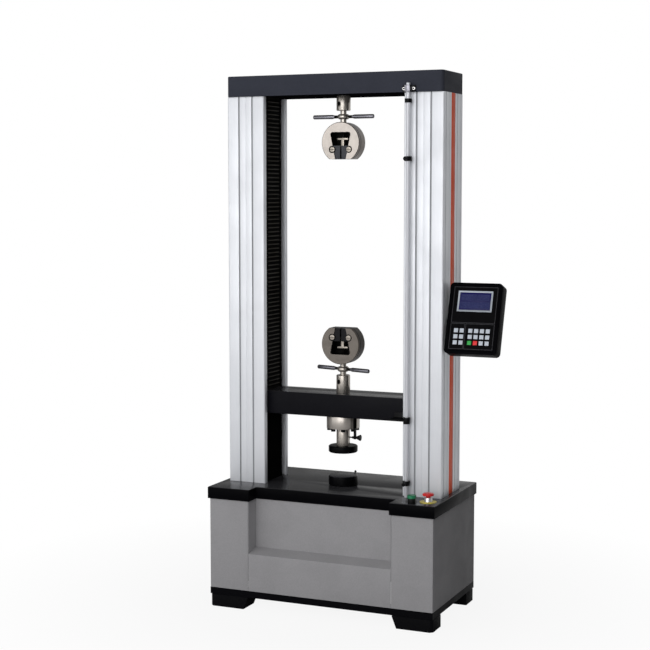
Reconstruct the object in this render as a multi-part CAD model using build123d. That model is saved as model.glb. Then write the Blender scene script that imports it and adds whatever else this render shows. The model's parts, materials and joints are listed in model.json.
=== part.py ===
from build123d import *
import math
import os

# Floor-standing two-column universal testing machine, in millimetres.
# X runs to the right, Y to the back and Z up. The origin lies on the floor under the load axis.

# General clearances
running_gap = 0.05
slide_gap = 0.3
seat_gap = 0.1

# Feet and base frame
foot_height = 45.0
foot_length = 150.0
foot_taper = 18.0
foot_depth = 85.0
foot_chamfer = 3.0
foot_corner = 10.0
anchor_radius = 7.0
anchor_depth = 30.0
plinth_height = 24.0
plinth_bar = 50.0
post_size = 40.0
post_gap = 2.0
motor_plate_width = 190.0
motor_plate_thickness = 10.0

# Cabinet covers
cabinet_height = 325.0
cabinet_inset = 6.0
sheet = 2.0
seam = 0.6
bend_radius = 3.0
shelf_height = 135.0
shelf_drop = 14.0
vent_count = 8
vent_length = 150.0
vent_width = 6.0
vent_pitch = 16.0

# Table plate
table_margin = 21.0
table_depth = 464.0
table_thickness = 42.0
wing_width = 164.0
recess_depth = 62.0
table_edge = 2.0

# Columns
test_width = 530.0
column_width = 144.0
column_depth = 200.0
column_height = 1390.0
column_wall = 6.0
column_return = 20.0
column_corner = 6.0
groove_inset = 46.0
groove_width = 6.0
groove_depth = 4.0
line_width = 2.0
line_depth = 1.0
strip_width = 41.0
strip_thickness = 2.0
strip_groove_depth = 3.0
strip_side_gap = 1.5

# Top beam
beam_inset = 1.0
beam_overhang = 7.0
beam_height = 72.0
beam_corner = 14.0
beam_edge = 3.0

# Ball screws, guide rods and their bearings
guide_offset = 57.0
screw_offset = 111.0
guide_radius = 20.0
guide_seat = 20.0
screw_radius = 16.0
lower_journal = 11.0
upper_journal = 10.0
upper_bearing_radius = 22.0
upper_bearing_height = 30.0
lower_bearing_radius = 26.0
bearing_flange_radius = 34.0
bearing_flange_height = 8.0

# Motor and belt
screw_pulley_radius = 36.0
motor_pulley_radius = 27.0
pulley_height = 26.0
pulley_drop = 50.0
flange_height = 2.0
flange_lip = 6.0
belt_thickness = 4.0
motor_size = 130.0
motor_offset = 100.0
motor_corner = 12.0
motor_shaft_radius = 12.0
motor_shaft_length = 40.0
motor_bore_depth = 25.0

# Crosshead
crosshead_height = 82.0
crosshead_side_gap = 10.0
crosshead_lift = 254.0
crosshead_end_gap = 4.0
crosshead_edge = 2.0
nut_radius = 22.0
nut_overhang = 6.0
bush_radius = 30.0
bush_overhang = 5.0

# Bellows
bellows_recess = 9.0
pleat_depth = 8.0
bellows_sheet = 3.0
bellows_side_gap = 2.0
upper_pleat = 15.0
lower_pleat = 5.0

# Grips
disc_radius = 72.0
disc_thickness = 58.0
disc_edge = 2.0
flat_drop = 58.0
neck_radius = 11.0
neck_length = 40.0
shank_radius = 16.0
shank_length = 38.0
pocket_top = 37.0
pocket_back = 12.0
pocket_corner = 8.0
slot_half = 20.5
wedge_angle = 11.6
retainer_drop = 24.0
retainer_offset = 4.0
retainer_radius = 11.0
retainer_recess = 13.0
retainer_depth = 3.5
jaw_gap = 5.0
jaw_top = 11.0
carrier_bar_half = 20.0
carrier_bar_z = 10.0
carrier_bar_height = 6.0
carrier_half_depth = 9.0
carrier_stem_half = 4.7
carrier_foot_half = 12.0
carrier_foot_top = 18.0
carrier_foot_height = 6.0
carrier_rod_radius = 6.0
carrier_rod_length = 55.0
carrier_stroke = 20.0
collar_radius = 21.5
collar_height = 18.0
collar_rise = 10.0
collar_edge = 5.0
bar_length = 232.0
bar_radius = 6.5
bar_waist_radius = 4.5
bar_waist_end = 34.0
bar_taper = 8.0
socket_radius = 25.0
socket_edge = 2.0
upper_socket_length = 52.0
lower_socket_length = 63.0
pin_radius = 8.0
pin_depth = 24.0
pin_angle = 20.0
pin_recess = 2.0
lower_bar_angle = -16.0

# Load cell and compression platens
cell_radius = 60.0
cell_height = 45.0
cell_band = 2.0
cell_band_half_angle = 50.0
cell_bolt_count = 8
cell_bolt_circle = 50.0
cell_bolt_radius = 6.0
cell_bolt_head_radius = 8.0
cell_bolt_head = 10.0
cell_notch_radius = 8.6
stem_radius = 24.5
stem_length = 65.0
platen_radius = 52.5
platen_edge = 3.0
upper_platen_height = 24.0
lower_platen_height = 36.0
strap_offset = 46.0
strap_half = 4.0
strap_drop = 41.0
lock_drop = 35.0
lock_screw_radius = 2.5
lock_nut_radius = 4.5
lock_nut_length = 6.0
knob_tip_radius = 4.0
knob_length = 18.0
knob_radius = 12.0
knob_edge = 1.5

# Limit rod, its bracket, trip fork, stop collars and switch
limit_radius = 7.0
limit_inset = 22.5
limit_stand_off = 20.0
limit_foot = 22.0
limit_head = 8.0
limit_travel = 6.0
bracket_width = 45.0
bracket_height = 22.0
bracket_wall = 6.0
bracket_bolt_radius = 4.0
bracket_bolt_head = 4.0
keeper_drop = 37.0
keeper_radius = 12.0
keeper_height = 14.0
fork_gap = 1.0
fork_ring_radius = 12.0
fork_ring_height = 22.0
fork_plate = 5.0
fork_pad_width = 33.0
fork_pad_height = 30.0
fork_pad_inset = 7.0
fork_rise = 3.0
collar_stop_radius = 13.0
collar_stop_height = 16.0
thumb_radius = 6.0
thumb_length = 14.0
thumb_stem_radius = 3.0
thumb_stem_length = 5.0
thumb_angle = 0.0
upper_stop_drop = 225.0
lower_stop_rise = 49.0
switch_width = 28.0
switch_depth = 20.0
switch_height = 50.0
switch_arm = 10.0

# Buttons on the right wing of the table
start_side = 93.0
start_front = 32.0
start_base_radius = 13.5
start_base_height = 17.0
start_cap_radius = 15.5
start_cap_top = 6.0
start_cap_skirt = 5.0
start_cap_edge = 2.0
start_travel = 4.0
button_stem_radius = 8.0
button_thread_radius = 11.0
button_body_depth = 60.0
stop_side = 46.0
stop_front = 67.0
stop_ring_radius = 29.0
stop_ring_height = 2.0
stop_neck_radius = 14.0
stop_neck_height = 14.0
stop_head_radius = 20.0
stop_head_height = 13.0
stop_head_edge = 6.0
stop_travel = 6.0

# Control box, with its swivel arm and bracket
box_width = 186.0
box_height = 248.0
box_depth = 52.0
box_corner = 14.0
box_wall = 3.0
box_tilt = 18.0
box_side_gap = 9.0
box_pivot_y = -10.0
box_rise = 604.0
box_stand_off = 22.0
panel_inset = 12.0
panel_thickness = 4.0
panel_sink = 1.5
screen_width = 122.0
screen_height = 72.0
screen_thickness = 5.0
screen_top = 30.0
key_size = 16.0
key_height = 1.5
key_pitch_x = 20.5
key_pitch_z = 21.0
key_columns = 6
key_rows = 3
key_block_gap = 10.0
key_bottom = 26.0
lug_half = 12.0
lug_radius = 10.0
hinge_pin_radius = 5.0
ear_thickness = 8.0
ear_radius = 12.0
arm_back = 13.0
arm_thickness = 12.0
arm_half_height = 10.0
barrel_stand_off = 43.0
barrel_radius = 15.0
barrel_height = 40.0
swivel_pin_radius = 8.0
plate_half_width = 35.0
plate_half_height = 45.0
plate_thickness = 5.0
plate_bolt_radius = 5.0
plate_bolt_head = 4.0

# Levels and places worked out from the sizes above
cabinet_bottom = foot_height + plinth_height
cabinet_top = cabinet_bottom + cabinet_height
table_top = cabinet_top + table_thickness
beam_bottom = table_top + column_height
beam_top = beam_bottom + beam_height
column_in = test_width / 2
column_out = column_in + column_width
column_y = column_depth / 2
table_x = column_out + table_margin
table_y = table_depth / 2
cabinet_x = table_x - cabinet_inset
cabinet_y = table_y - cabinet_inset
wing_x = table_x - wing_width
recess_y = table_y - recess_depth
panel_x = wing_x + cabinet_inset
panel_y = recess_y - cabinet_inset
shelf_z = cabinet_bottom + shelf_height
guide_x = column_in + guide_offset
screw_x = column_in + screw_offset
crosshead_bottom = table_top + crosshead_lift
crosshead_top = crosshead_bottom + crosshead_height
crosshead_y = column_y - column_return - crosshead_side_gap
crosshead_x = column_out - column_wall - crosshead_end_gap
pulley_top = cabinet_top - pulley_drop
pulley_bottom = pulley_top - pulley_height
motor_plate_top = cabinet_bottom
motor_top = pulley_bottom - motor_shaft_length
belt_bottom = pulley_bottom + flange_height + slide_gap
belt_top = pulley_top - flange_height - slide_gap
wedge_slope = math.tan(math.radians(wedge_angle))
grip_reach = disc_radius + neck_length
upper_grip_z = beam_bottom - upper_socket_length - grip_reach
lower_grip_z = crosshead_top + lower_socket_length + grip_reach
cell_bottom = crosshead_bottom - cell_height
stem_bottom = cell_bottom - stem_length
limit_x = column_in + limit_inset
limit_y = -column_y - limit_stand_off
beam_x = column_out - beam_inset
beam_front = -column_y - beam_overhang
limit_top = beam_bottom + bracket_height + limit_head
limit_bottom = cabinet_top - limit_foot
upper_stop_z = beam_bottom - upper_stop_drop
lower_stop_z = table_top + lower_stop_rise
start_x = table_x - start_side
start_y = start_front - table_y
stop_x = table_x - stop_side
stop_y = stop_front - table_y
barrel_x = column_out + barrel_stand_off
box_pivot_x = column_out + box_side_gap + box_width / 2
box_pivot_z = table_top + box_rise
box_front = -box_stand_off - box_depth
barrel_y = box_pivot_y + arm_back + arm_thickness / 2
barrel_top = box_pivot_z - arm_half_height - slide_gap
barrel_bottom = barrel_top - barrel_height
barrel_mid = (barrel_top + barrel_bottom) / 2
sides = {"left": -1, "right": 1}
corners = [(-1, -1), (1, -1), (-1, 1), (1, 1)]


def slab(x0, x1, y0, y1, z0, z1):
    """A box between two corners."""
    middle = Pos((x0 + x1) / 2, (y0 + y1) / 2, (z0 + z1) / 2)
    return middle * Box(abs(x1 - x0), abs(y1 - y0), abs(z1 - z0))


def post(radius, z0, z1, x=0.0, y=0.0):
    """An upright cylinder."""
    return Pos(x, y, (z0 + z1) / 2) * Cylinder(radius, z1 - z0)


def rod_x(radius, x0, x1, y=0.0, z=0.0):
    """A cylinder along X."""
    return Pos((x0 + x1) / 2, y, z) * Rot(Y=90) * Cylinder(radius, x1 - x0)


def rod_y(radius, y0, y1, x=0.0, z=0.0):
    """A cylinder along Y."""
    return Pos(x, (y0 + y1) / 2, z) * Rot(X=90) * Cylinder(radius, y1 - y0)


def prism_z(points, z0, z1):
    """An upright prism over a list of (x, y) points."""
    face = make_face(Polyline(*points, close=True))
    return Pos(0, 0, z0) * extrude(face, z1 - z0)


def prism_y(points, y0, y1):
    """A prism along Y over a list of (x, z) points."""
    face = make_face(Polyline(*[(x, 0, z) for x, z in points], close=True))
    return extrude(face, y1 - y0, dir=(0, 1, 0)).moved(Pos(0, y0, 0))


def prism_x(points, x0, x1):
    """A prism along X over a list of (y, z) points."""
    face = make_face(Polyline(*[(0, y, z) for y, z in points], close=True))
    return extrude(face, x1 - x0, dir=(1, 0, 0)).moved(Pos(x0, 0, 0))


def upright_edges(shape):
    """The edges of a shape that run along Z."""
    return shape.edges().filter_by(Axis.Z)


def rims(shape, face_index):
    """The edges of the lowest (0) or highest (-1) face."""
    return shape.faces().sort_by(Axis.Z)[face_index].edges()


def feet():
    """Four corner feet, each with a threaded anchor hole in its underside."""
    solids = []
    for sx, sy in corners:
        outer = sx * cabinet_x
        points = [
            (outer, 0),
            (outer, foot_height),
            (outer - sx * foot_length, foot_height),
            (outer - sx * (foot_length - foot_taper), 0),
        ]
        near, far = sorted((sy * cabinet_y, sy * (cabinet_y - foot_depth)))
        foot = prism_y(points, near, far)
        corner = upright_edges(foot).sort_by(lambda e: sy * e.center().Y)[-1:]
        foot = chamfer(corner, foot_corner)
        foot = chamfer(rims(foot, -1), foot_chamfer)
        hole_x = sx * (cabinet_x - foot_length / 2)
        hole_y = sy * (cabinet_y - foot_depth / 2)
        solids.append(foot - post(anchor_radius, 0, anchor_depth, hole_x, hole_y))
    return Compound(solids)


def base_frame():
    """The welded frame: plinth ring, corner posts and the plate that carries the motor."""
    inner_x = cabinet_x - plinth_bar
    inner_y = cabinet_y - plinth_bar
    frame = slab(-cabinet_x, cabinet_x, -cabinet_y, cabinet_y, foot_height, cabinet_bottom)
    frame -= slab(-inner_x, inner_x, -inner_y, inner_y, foot_height, cabinet_bottom)
    half = motor_plate_width / 2
    low = motor_plate_top - motor_plate_thickness
    frame += slab(-half, half, -inner_y, inner_y, low, motor_plate_top)
    outer_x = cabinet_x - sheet - post_gap
    outer_y = cabinet_y - sheet - post_gap
    for sx, sy in corners:
        x0, x1 = sorted((sx * outer_x, sx * (outer_x - post_size)))
        y0, y1 = sorted((sy * outer_y, sy * (outer_y - post_size)))
        frame += slab(x0, x1, y0, y1, cabinet_bottom, cabinet_top)
    return frame


def side_cover(side):
    """The sheet over one end of the cabinet, bent round onto the front of its wing."""
    points = [
        (cabinet_x, cabinet_y),
        (cabinet_x, -cabinet_y),
        (panel_x + seam, -cabinet_y),
        (panel_x + seam, sheet - cabinet_y),
        (cabinet_x - sheet, sheet - cabinet_y),
        (cabinet_x - sheet, cabinet_y),
    ]
    cover = prism_z(points, cabinet_bottom, cabinet_top)
    bend = upright_edges(cover).sort_by(lambda e: e.center().X - e.center().Y)[-1:]
    cover = fillet(bend, bend_radius)
    return cover if side > 0 else mirror(cover, about=Plane.YZ)


def front_cover():
    """The folded front sheet: lower panel, sloped shelf, back of the recess and its two cheeks."""
    lip = -cabinet_y
    points = [
        (lip, cabinet_bottom),
        (lip, shelf_z),
        (-panel_y - sheet, shelf_z + shelf_drop),
        (-panel_y - sheet, cabinet_top),
        (-panel_y, cabinet_top),
        (-panel_y, shelf_z + shelf_drop - sheet),
        (lip + sheet, shelf_z - sheet),
        (lip + sheet, cabinet_bottom),
    ]
    cover = prism_x(points, -panel_x, panel_x)
    for s in sides.values():
        x0, x1 = sorted((s * panel_x, s * (panel_x - sheet)))
        cheek_points = [
            (lip, shelf_z),
            (lip, cabinet_top),
            (-panel_y - sheet, cabinet_top),
            (-panel_y - sheet, shelf_z + shelf_drop),
        ]
        cover += prism_x(cheek_points, x0, x1)
    return cover


def rear_cover():
    """The flat back sheet between the two side covers, with rows of vent slots."""
    edge = cabinet_x - sheet - seam
    cover = slab(-edge, edge, cabinet_y - sheet, cabinet_y, cabinet_bottom, cabinet_top)
    middle = (cabinet_bottom + cabinet_top) / 2
    half = vent_length / 2
    for s in sides.values():
        for row in range(vent_count):
            z = middle + (row - (vent_count - 1) / 2) * vent_pitch
            x = s * edge / 2
            low = z - vent_width / 2
            cover -= slab(x - half, x + half, cabinet_y - sheet, cabinet_y, low, low + vent_width)
    return cover


def table_plate():
    """The thick base plate, cut back between its wings, with its bearing, guide and control holes."""
    points = [
        (-table_x, -table_y),
        (-wing_x, -table_y),
        (-wing_x, -recess_y),
        (wing_x, -recess_y),
        (wing_x, -table_y),
        (table_x, -table_y),
        (table_x, table_y),
        (-table_x, table_y),
    ]
    plate = prism_z(points, cabinet_top, table_top)
    plate = chamfer(rims(plate, -1), table_edge)
    for s in sides.values():
        plate -= post(lower_bearing_radius + seat_gap, cabinet_top, table_top, s * screw_x)
        plate -= post(guide_radius + running_gap, table_top - guide_seat, table_top, s * guide_x)
    plate -= post(limit_radius + running_gap, cabinet_top, table_top, limit_x, limit_y)
    for x, y in ((start_x, start_y), (stop_x, stop_y)):
        plate -= post(button_thread_radius + seat_gap, cabinet_top, table_top, x, y)
    return plate


def servo_motor():
    """The drive motor, standing on the frame's plate with its shaft upwards."""
    half = motor_size / 2
    y0, y1 = motor_offset - half, motor_offset + half
    motor = slab(-half, half, y0, y1, motor_plate_top, motor_top)
    motor = fillet(upright_edges(motor), motor_corner)
    bore = motor_shaft_radius + running_gap
    return motor - post(bore, motor_top - motor_bore_depth, motor_top, 0, motor_offset)


def pulley(radius, bore, x, y):
    """A belt pulley with a lip above and below its teeth."""
    wheel = post(radius, pulley_bottom, pulley_top, x, y)
    wheel += post(radius + flange_lip, pulley_bottom, pulley_bottom + flange_height, x, y)
    wheel += post(radius + flange_lip, pulley_top - flange_height, pulley_top, x, y)
    if bore:
        wheel -= post(bore, pulley_bottom, pulley_top, x, y)
    return wheel


def motor_pulley():
    """The small pulley with the motor's shaft."""
    shaft_foot = motor_top - motor_bore_depth + slide_gap
    wheel = pulley(motor_pulley_radius, 0.0, 0.0, motor_offset)
    return wheel + post(motor_shaft_radius, shaft_foot, pulley_bottom, 0, motor_offset)


def belt_outline(growth):
    """The outline round the three pulleys, grown by a distance."""
    wheels = [
        (screw_pulley_radius, screw_x, 0.0),
        (screw_pulley_radius, -screw_x, 0.0),
        (motor_pulley_radius, 0.0, motor_offset),
    ]
    rings = [Pos(x, y) * Edge.make_circle(r + growth) for r, x, y in wheels]
    return make_hull(rings)


def timing_belt():
    """The belt round the motor pulley and both screw pulleys."""
    band = make_face(belt_outline(slide_gap + belt_thickness)) - make_face(belt_outline(slide_gap))
    return Pos(0, 0, belt_bottom) * extrude(band, belt_top - belt_bottom)


def screw_bearings():
    """A flanged bearing under the table and a plain one in the beam, for each screw."""
    solids = []
    for s in sides.values():
        x = s * screw_x
        lower = post(lower_bearing_radius, cabinet_top, table_top, x)
        lower += post(bearing_flange_radius, cabinet_top - bearing_flange_height, cabinet_top, x)
        lower -= post(lower_journal + running_gap, cabinet_top - bearing_flange_height, table_top, x)
        upper_end = beam_bottom + upper_bearing_height
        upper = post(upper_bearing_radius, beam_bottom, upper_end, x)
        upper -= post(upper_journal + running_gap, beam_bottom, upper_end, x)
        solids += [lower, upper]
    return Compound(solids)


def ball_screw(side):
    """A lead screw with a long lower journal for its pulley and a short upper one."""
    x = side * screw_x
    low = table_top + slide_gap
    high = beam_bottom - slide_gap
    screw = post(screw_radius, low, high, x)
    screw += post(lower_journal, pulley_bottom, low, x)
    return screw + post(upper_journal, high, beam_bottom + upper_bearing_height - slide_gap, x)


def guide_rods():
    """The two plain guide rods, seated in the table and in the beam."""
    ends = (table_top - guide_seat, beam_bottom + guide_seat)
    return Compound([post(guide_radius, *ends, s * guide_x) for s in sides.values()])


def column_cover(side):
    """A column's extruded cover, open towards the test space and grooved on its other faces."""
    middle = column_in + column_width / 2
    profile = Pos(middle, 0) * RectangleRounded(column_width, column_depth, column_corner)
    inner = Rectangle(column_width - 2 * column_wall, column_depth - 2 * column_wall)
    profile -= Pos(middle, 0) * inner
    mouth = column_depth - 2 * column_return
    profile -= Pos(column_in + column_wall / 2, 0) * Rectangle(2 * column_wall, mouth)
    half = column_width / 2 - groove_inset
    for face in (-1, 1):
        y = face * column_y
        for x in (middle - half, middle + half):
            profile -= Pos(x, y) * Rectangle(groove_width, 2 * groove_depth)
        profile -= Pos(middle, y) * Rectangle(line_width, 2 * line_depth)
    trim = Rectangle(2 * strip_groove_depth, strip_width + 2 * strip_side_gap)
    profile -= Pos(column_out, 0) * trim
    cover = Pos(0, 0, table_top) * extrude(profile, column_height)
    return cover if side > 0 else mirror(cover, about=Plane.YZ)


def trim_strips():
    """The coloured strips that lie in the outer side grooves."""
    floor = column_out - strip_groove_depth
    half = strip_width / 2
    strip = slab(floor, floor + strip_thickness, -half, half, table_top, beam_bottom)
    return Compound([strip, mirror(strip, about=Plane.YZ)])


def pleated_pair(low, high, pitch):
    """A pleated sheet in the mouth of each column, between two levels."""
    front = column_in + bellows_recess
    count = 2 * max(2, round((high - low) / pitch))
    step = (high - low) / count
    edge = [(front + pleat_depth * (i % 2), low + i * step) for i in range(count + 1)]
    back = [(x + bellows_sheet, z) for x, z in reversed(edge)]
    half = column_y - column_return - bellows_side_gap
    bellows = prism_y(edge + back, -half, half)
    return Compound([mirror(bellows, about=Plane.YZ), bellows])


def upper_bellows():
    """The bellows between the crosshead and the beam."""
    return pleated_pair(crosshead_top + slide_gap, beam_bottom, upper_pleat)


def lower_bellows():
    """The bellows between the table and the crosshead."""
    return pleated_pair(table_top, crosshead_bottom - slide_gap, lower_pleat)


def top_beam():
    """The fixed beam across the columns, bored for the bearings and guide rods."""
    beam = slab(-beam_x, beam_x, beam_front, -beam_front, beam_bottom, beam_top)
    beam = fillet(upright_edges(beam), beam_corner)
    beam = fillet(rims(beam, -1), beam_edge)
    for s in sides.values():
        seat = upper_bearing_radius + seat_gap
        beam -= post(seat, beam_bottom, beam_bottom + upper_bearing_height, s * screw_x)
        beam -= post(guide_radius + running_gap, beam_bottom, beam_bottom + guide_seat, s * guide_x)
    return beam


def crosshead():
    """The moving beam, bored for the ball nuts and guide bushes."""
    y, z0, z1 = crosshead_y, crosshead_bottom, crosshead_top
    beam = slab(-crosshead_x, crosshead_x, -y, y, z0, z1)
    beam = chamfer(beam.edges().filter_by(Axis.X), crosshead_edge)
    for s in sides.values():
        beam -= post(nut_radius + seat_gap, z0, z1, s * screw_x)
        beam -= post(bush_radius + seat_gap, z0, z1, s * guide_x)
    return beam


def sleeves(outer, inner, overhang, x):
    """A pair of plain sleeves through the crosshead."""
    z0, z1 = crosshead_bottom - overhang, crosshead_top + overhang
    return Compound([post(outer, z0, z1, s * x) - post(inner, z0, z1, s * x) for s in sides.values()])


def ball_nuts():
    """The nuts that ride on the screws."""
    return sleeves(nut_radius, screw_radius + running_gap, nut_overhang, screw_x)


def guide_bushes():
    """The bushes that run on the guide rods."""
    return sleeves(bush_radius, guide_radius + running_gap, bush_overhang, guide_x)


def wall_half(z):
    """Half the width of a grip's tapered pocket at a height over the disc's centre."""
    return slot_half + (z + flat_drop) * wedge_slope


def grip_body(angle):
    """A round wedge-grip body with its neck and pinned shank, jaws downwards, about the disc's centre."""
    front = -disc_thickness / 2
    disc = rod_y(disc_radius, front, -front)
    disc = chamfer(disc.edges().filter_by(GeomType.CIRCLE), disc_edge)
    disc -= slab(-disc_radius, disc_radius, front, -front, -disc_radius, -flat_drop)
    floor = -front - pocket_back
    below = -flat_drop - disc_edge
    pocket = prism_y(
        [
            (-wall_half(pocket_top), pocket_top),
            (wall_half(pocket_top), pocket_top),
            (wall_half(below), below),
            (-wall_half(below), below),
        ],
        front,
        floor,
    )
    top = pocket.edges().filter_by(Axis.Y).sort_by(Axis.Z)[-2:]
    disc -= fillet(top, pocket_corner)
    for s in sides.values():
        x = s * (wall_half(-retainer_drop) + retainer_offset)
        seat = front + retainer_depth
        disc -= rod_y(retainer_recess, front, seat, x, -retainer_drop)
        disc += rod_y(retainer_radius, front + seat_gap, seat, x, -retainer_drop)
    shank_top = grip_reach + shank_length
    disc += post(neck_radius, disc_radius - collar_rise, grip_reach)
    disc += post(shank_radius, grip_reach, shank_top)
    bore_top = carrier_bar_z + carrier_bar_height + carrier_rod_length + carrier_stroke
    disc -= post(carrier_rod_radius + seat_gap, pocket_top, bore_top + slide_gap)
    return disc - pin_rod(pin_radius + running_gap, 2 * disc_radius, angle)


def pin_rod(radius, length, angle):
    """A cross pin through a grip's shank, turned about the load axis."""
    pin = rod_y(radius, -length / 2, length / 2, 0, grip_reach + pin_depth)
    return Rot(Z=angle) * pin


def coupling_pin(angle):
    """The pin that holds the shank in its socket."""
    return pin_rod(pin_radius, 2 * (socket_radius - pin_recess), angle)


def socket(length, angle):
    """The coupling that takes a grip's shank, bolted to the beam or the crosshead."""
    top = grip_reach + length
    body = post(socket_radius, grip_reach, top)
    body = chamfer(rims(body, 0), socket_edge)
    body -= post(shank_radius + seat_gap, grip_reach, grip_reach + shank_length)
    return body - pin_rod(pin_radius + running_gap, 2 * disc_radius, angle)


def grip_jaw(side):
    """One wedge jaw, with the slot that hangs on the carrier's foot."""
    lean = slide_gap / math.cos(math.radians(wedge_angle))
    points = [
        (jaw_gap / 2, -flat_drop),
        (wall_half(-flat_drop) - lean, -flat_drop),
        (wall_half(-jaw_top) - lean, -jaw_top),
        (jaw_gap / 2, -jaw_top),
    ]
    front = -disc_thickness / 2 + retainer_depth + slide_gap
    back = disc_thickness / 2 - pocket_back - slide_gap
    jaw = prism_y(points, front, back)
    deep = carrier_half_depth + slide_gap
    foot_low = -carrier_foot_top - carrier_foot_height - slide_gap
    foot_high = -carrier_foot_top + slide_gap
    stem = carrier_stem_half + slide_gap
    foot = carrier_foot_half + slide_gap
    jaw -= slab(0, stem, -deep, deep, foot_high, -jaw_top)
    jaw -= slab(0, foot, -deep, deep, foot_low, foot_high)
    return jaw if side > 0 else mirror(jaw, about=Plane.YZ)


def carrier():
    """The T-shaped carrier that draws both jaws along, with its rod up the neck."""
    d = carrier_half_depth
    bar_top = carrier_bar_z + carrier_bar_height
    foot_low = -carrier_foot_top - carrier_foot_height
    stem = carrier_stem_half
    tee = slab(-carrier_bar_half, carrier_bar_half, -d, d, carrier_bar_z, bar_top)
    tee += slab(-stem, stem, -d, d, -carrier_foot_top, carrier_bar_z)
    tee += slab(-carrier_foot_half, carrier_foot_half, -d, d, foot_low, -carrier_foot_top)
    return tee + post(carrier_rod_radius, bar_top, bar_top + carrier_rod_length)


def grip_handle():
    """The collar on the neck with its two-ended tommy bar."""
    low = disc_radius + collar_rise
    collar = post(collar_radius, low, low + collar_height)
    collar = chamfer(collar.edges().filter_by(GeomType.CIRCLE), collar_edge)
    z = low + collar_height / 2
    end = bar_length / 2
    for s in sides.values():
        waist = rod_x(bar_waist_radius, 0, bar_waist_end, 0, z)
        cone = Cone(bar_waist_radius, bar_radius, bar_taper)
        waist += Pos(bar_waist_end + bar_taper / 2, 0, z) * Rot(Y=90) * cone
        grip = rod_x(bar_radius, bar_waist_end + bar_taper, end, 0, z)
        grip = fillet(grip.edges().sort_by(Axis.X)[-1:], bar_waist_radius)
        half = waist + grip
        collar += half if s > 0 else mirror(half, about=Plane.YZ)
    return collar - post(neck_radius + running_gap, low, low + collar_height)


def load_cell():
    """The round load cell, slotted for its bolts, with a front band and a strap for the stem lock."""
    cell = post(cell_radius, cell_bottom, crosshead_bottom)
    for turn in cell_bolt_turns():
        notch = post(cell_notch_radius, cell_bottom, crosshead_bottom, 0, -cell_bolt_circle)
        w = cell_notch_radius
        rim = -cell_radius - cell_band
        notch += slab(-w, w, rim, -cell_bolt_circle, cell_bottom, crosshead_bottom)
        cell -= Rot(Z=turn) * notch
    band = post(cell_radius + cell_band, cell_bottom, crosshead_bottom)
    band -= post(cell_radius - cell_band / 2, cell_bottom, crosshead_bottom)
    reach = 2 * cell_radius
    spread = reach * math.tan(math.radians(cell_band_half_angle))
    sector = prism_z([(0, 0), (-spread, -reach), (spread, -reach)], cell_bottom, crosshead_bottom)
    cell += band & sector
    h = strap_half
    strap = slab(strap_offset - h, strap_offset + h, -h, h, cell_bottom - strap_drop, cell_bottom)
    strap -= rod_x(lock_screw_radius + running_gap, strap_offset - h, strap_offset + h, 0, lock_level())
    return cell + strap


def cell_bolt_turns():
    """The angles of the load cell's bolts about the load axis."""
    step = 360.0 / cell_bolt_count
    return [step * (i + 0.5) for i in range(cell_bolt_count)]


def lock_level():
    """The height of the stem lock's screw."""
    return cell_bottom - lock_drop


def load_cell_bolts():
    """The cap screws that hold the load cell to the crosshead."""
    shank = post(cell_bolt_radius, cell_bottom, crosshead_bottom, 0, -cell_bolt_circle)
    head_low = cell_bottom - cell_bolt_head
    shank += post(cell_bolt_head_radius, head_low, cell_bottom, 0, -cell_bolt_circle)
    return Compound([Rot(Z=turn) * shank for turn in cell_bolt_turns()])


def compression_stem():
    """The plain stem from the load cell to the upper platen."""
    return post(stem_radius, stem_bottom, cell_bottom)


def platen(low, height):
    """A round compression platen."""
    disc = post(platen_radius, low, low + height)
    return chamfer(disc.edges().filter_by(GeomType.CIRCLE), platen_edge)


def stem_lock_knob():
    """The horn-shaped hand knob, whose screw runs through the strap towards the stem."""
    z = lock_level()
    gap = slide_gap
    start = strap_offset + strap_half + gap
    horn = Cone(knob_tip_radius, knob_radius, knob_length)
    horn = fillet(horn.edges().sort_by(Axis.Z)[-1:], knob_edge)
    knob = Pos(start + knob_length / 2, 0, z) * Rot(Y=90) * horn
    knob += rod_x(lock_screw_radius, stem_radius + gap, start, 0, z)
    nut_end = strap_offset - strap_half - gap
    return knob + rod_x(lock_nut_radius, nut_end - lock_nut_length, nut_end, 0, z)


def limit_rod():
    """The long limit rod with its fixed keeper collar near the top."""
    rod = post(limit_radius, limit_bottom, limit_top, limit_x, limit_y)
    low = beam_bottom - keeper_drop
    return rod + post(keeper_radius, low, low + keeper_height, limit_x, limit_y)


def rod_bracket():
    """The bracket on the beam's front that guides the limit rod, with its two bolt heads."""
    half = bracket_width / 2
    front = limit_y - limit_radius - bracket_wall
    z0, z1 = beam_bottom, beam_bottom + bracket_height
    block = slab(limit_x - half, limit_x + half, front, beam_front, z0, z1)
    waist = limit_radius + bracket_wall
    for s in sides.values():
        x0, x1 = sorted((limit_x + s * waist, limit_x + s * half))
        block -= slab(x0, x1, front, beam_front - bracket_wall, z0, z1)
        x = (x0 + x1) / 2
        seat = beam_front - bracket_wall
        block += rod_y(bracket_bolt_radius, seat - bracket_bolt_head, seat, x, (z0 + z1) / 2)
    return block - post(limit_radius + running_gap, z0, z1, limit_x, limit_y)


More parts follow.
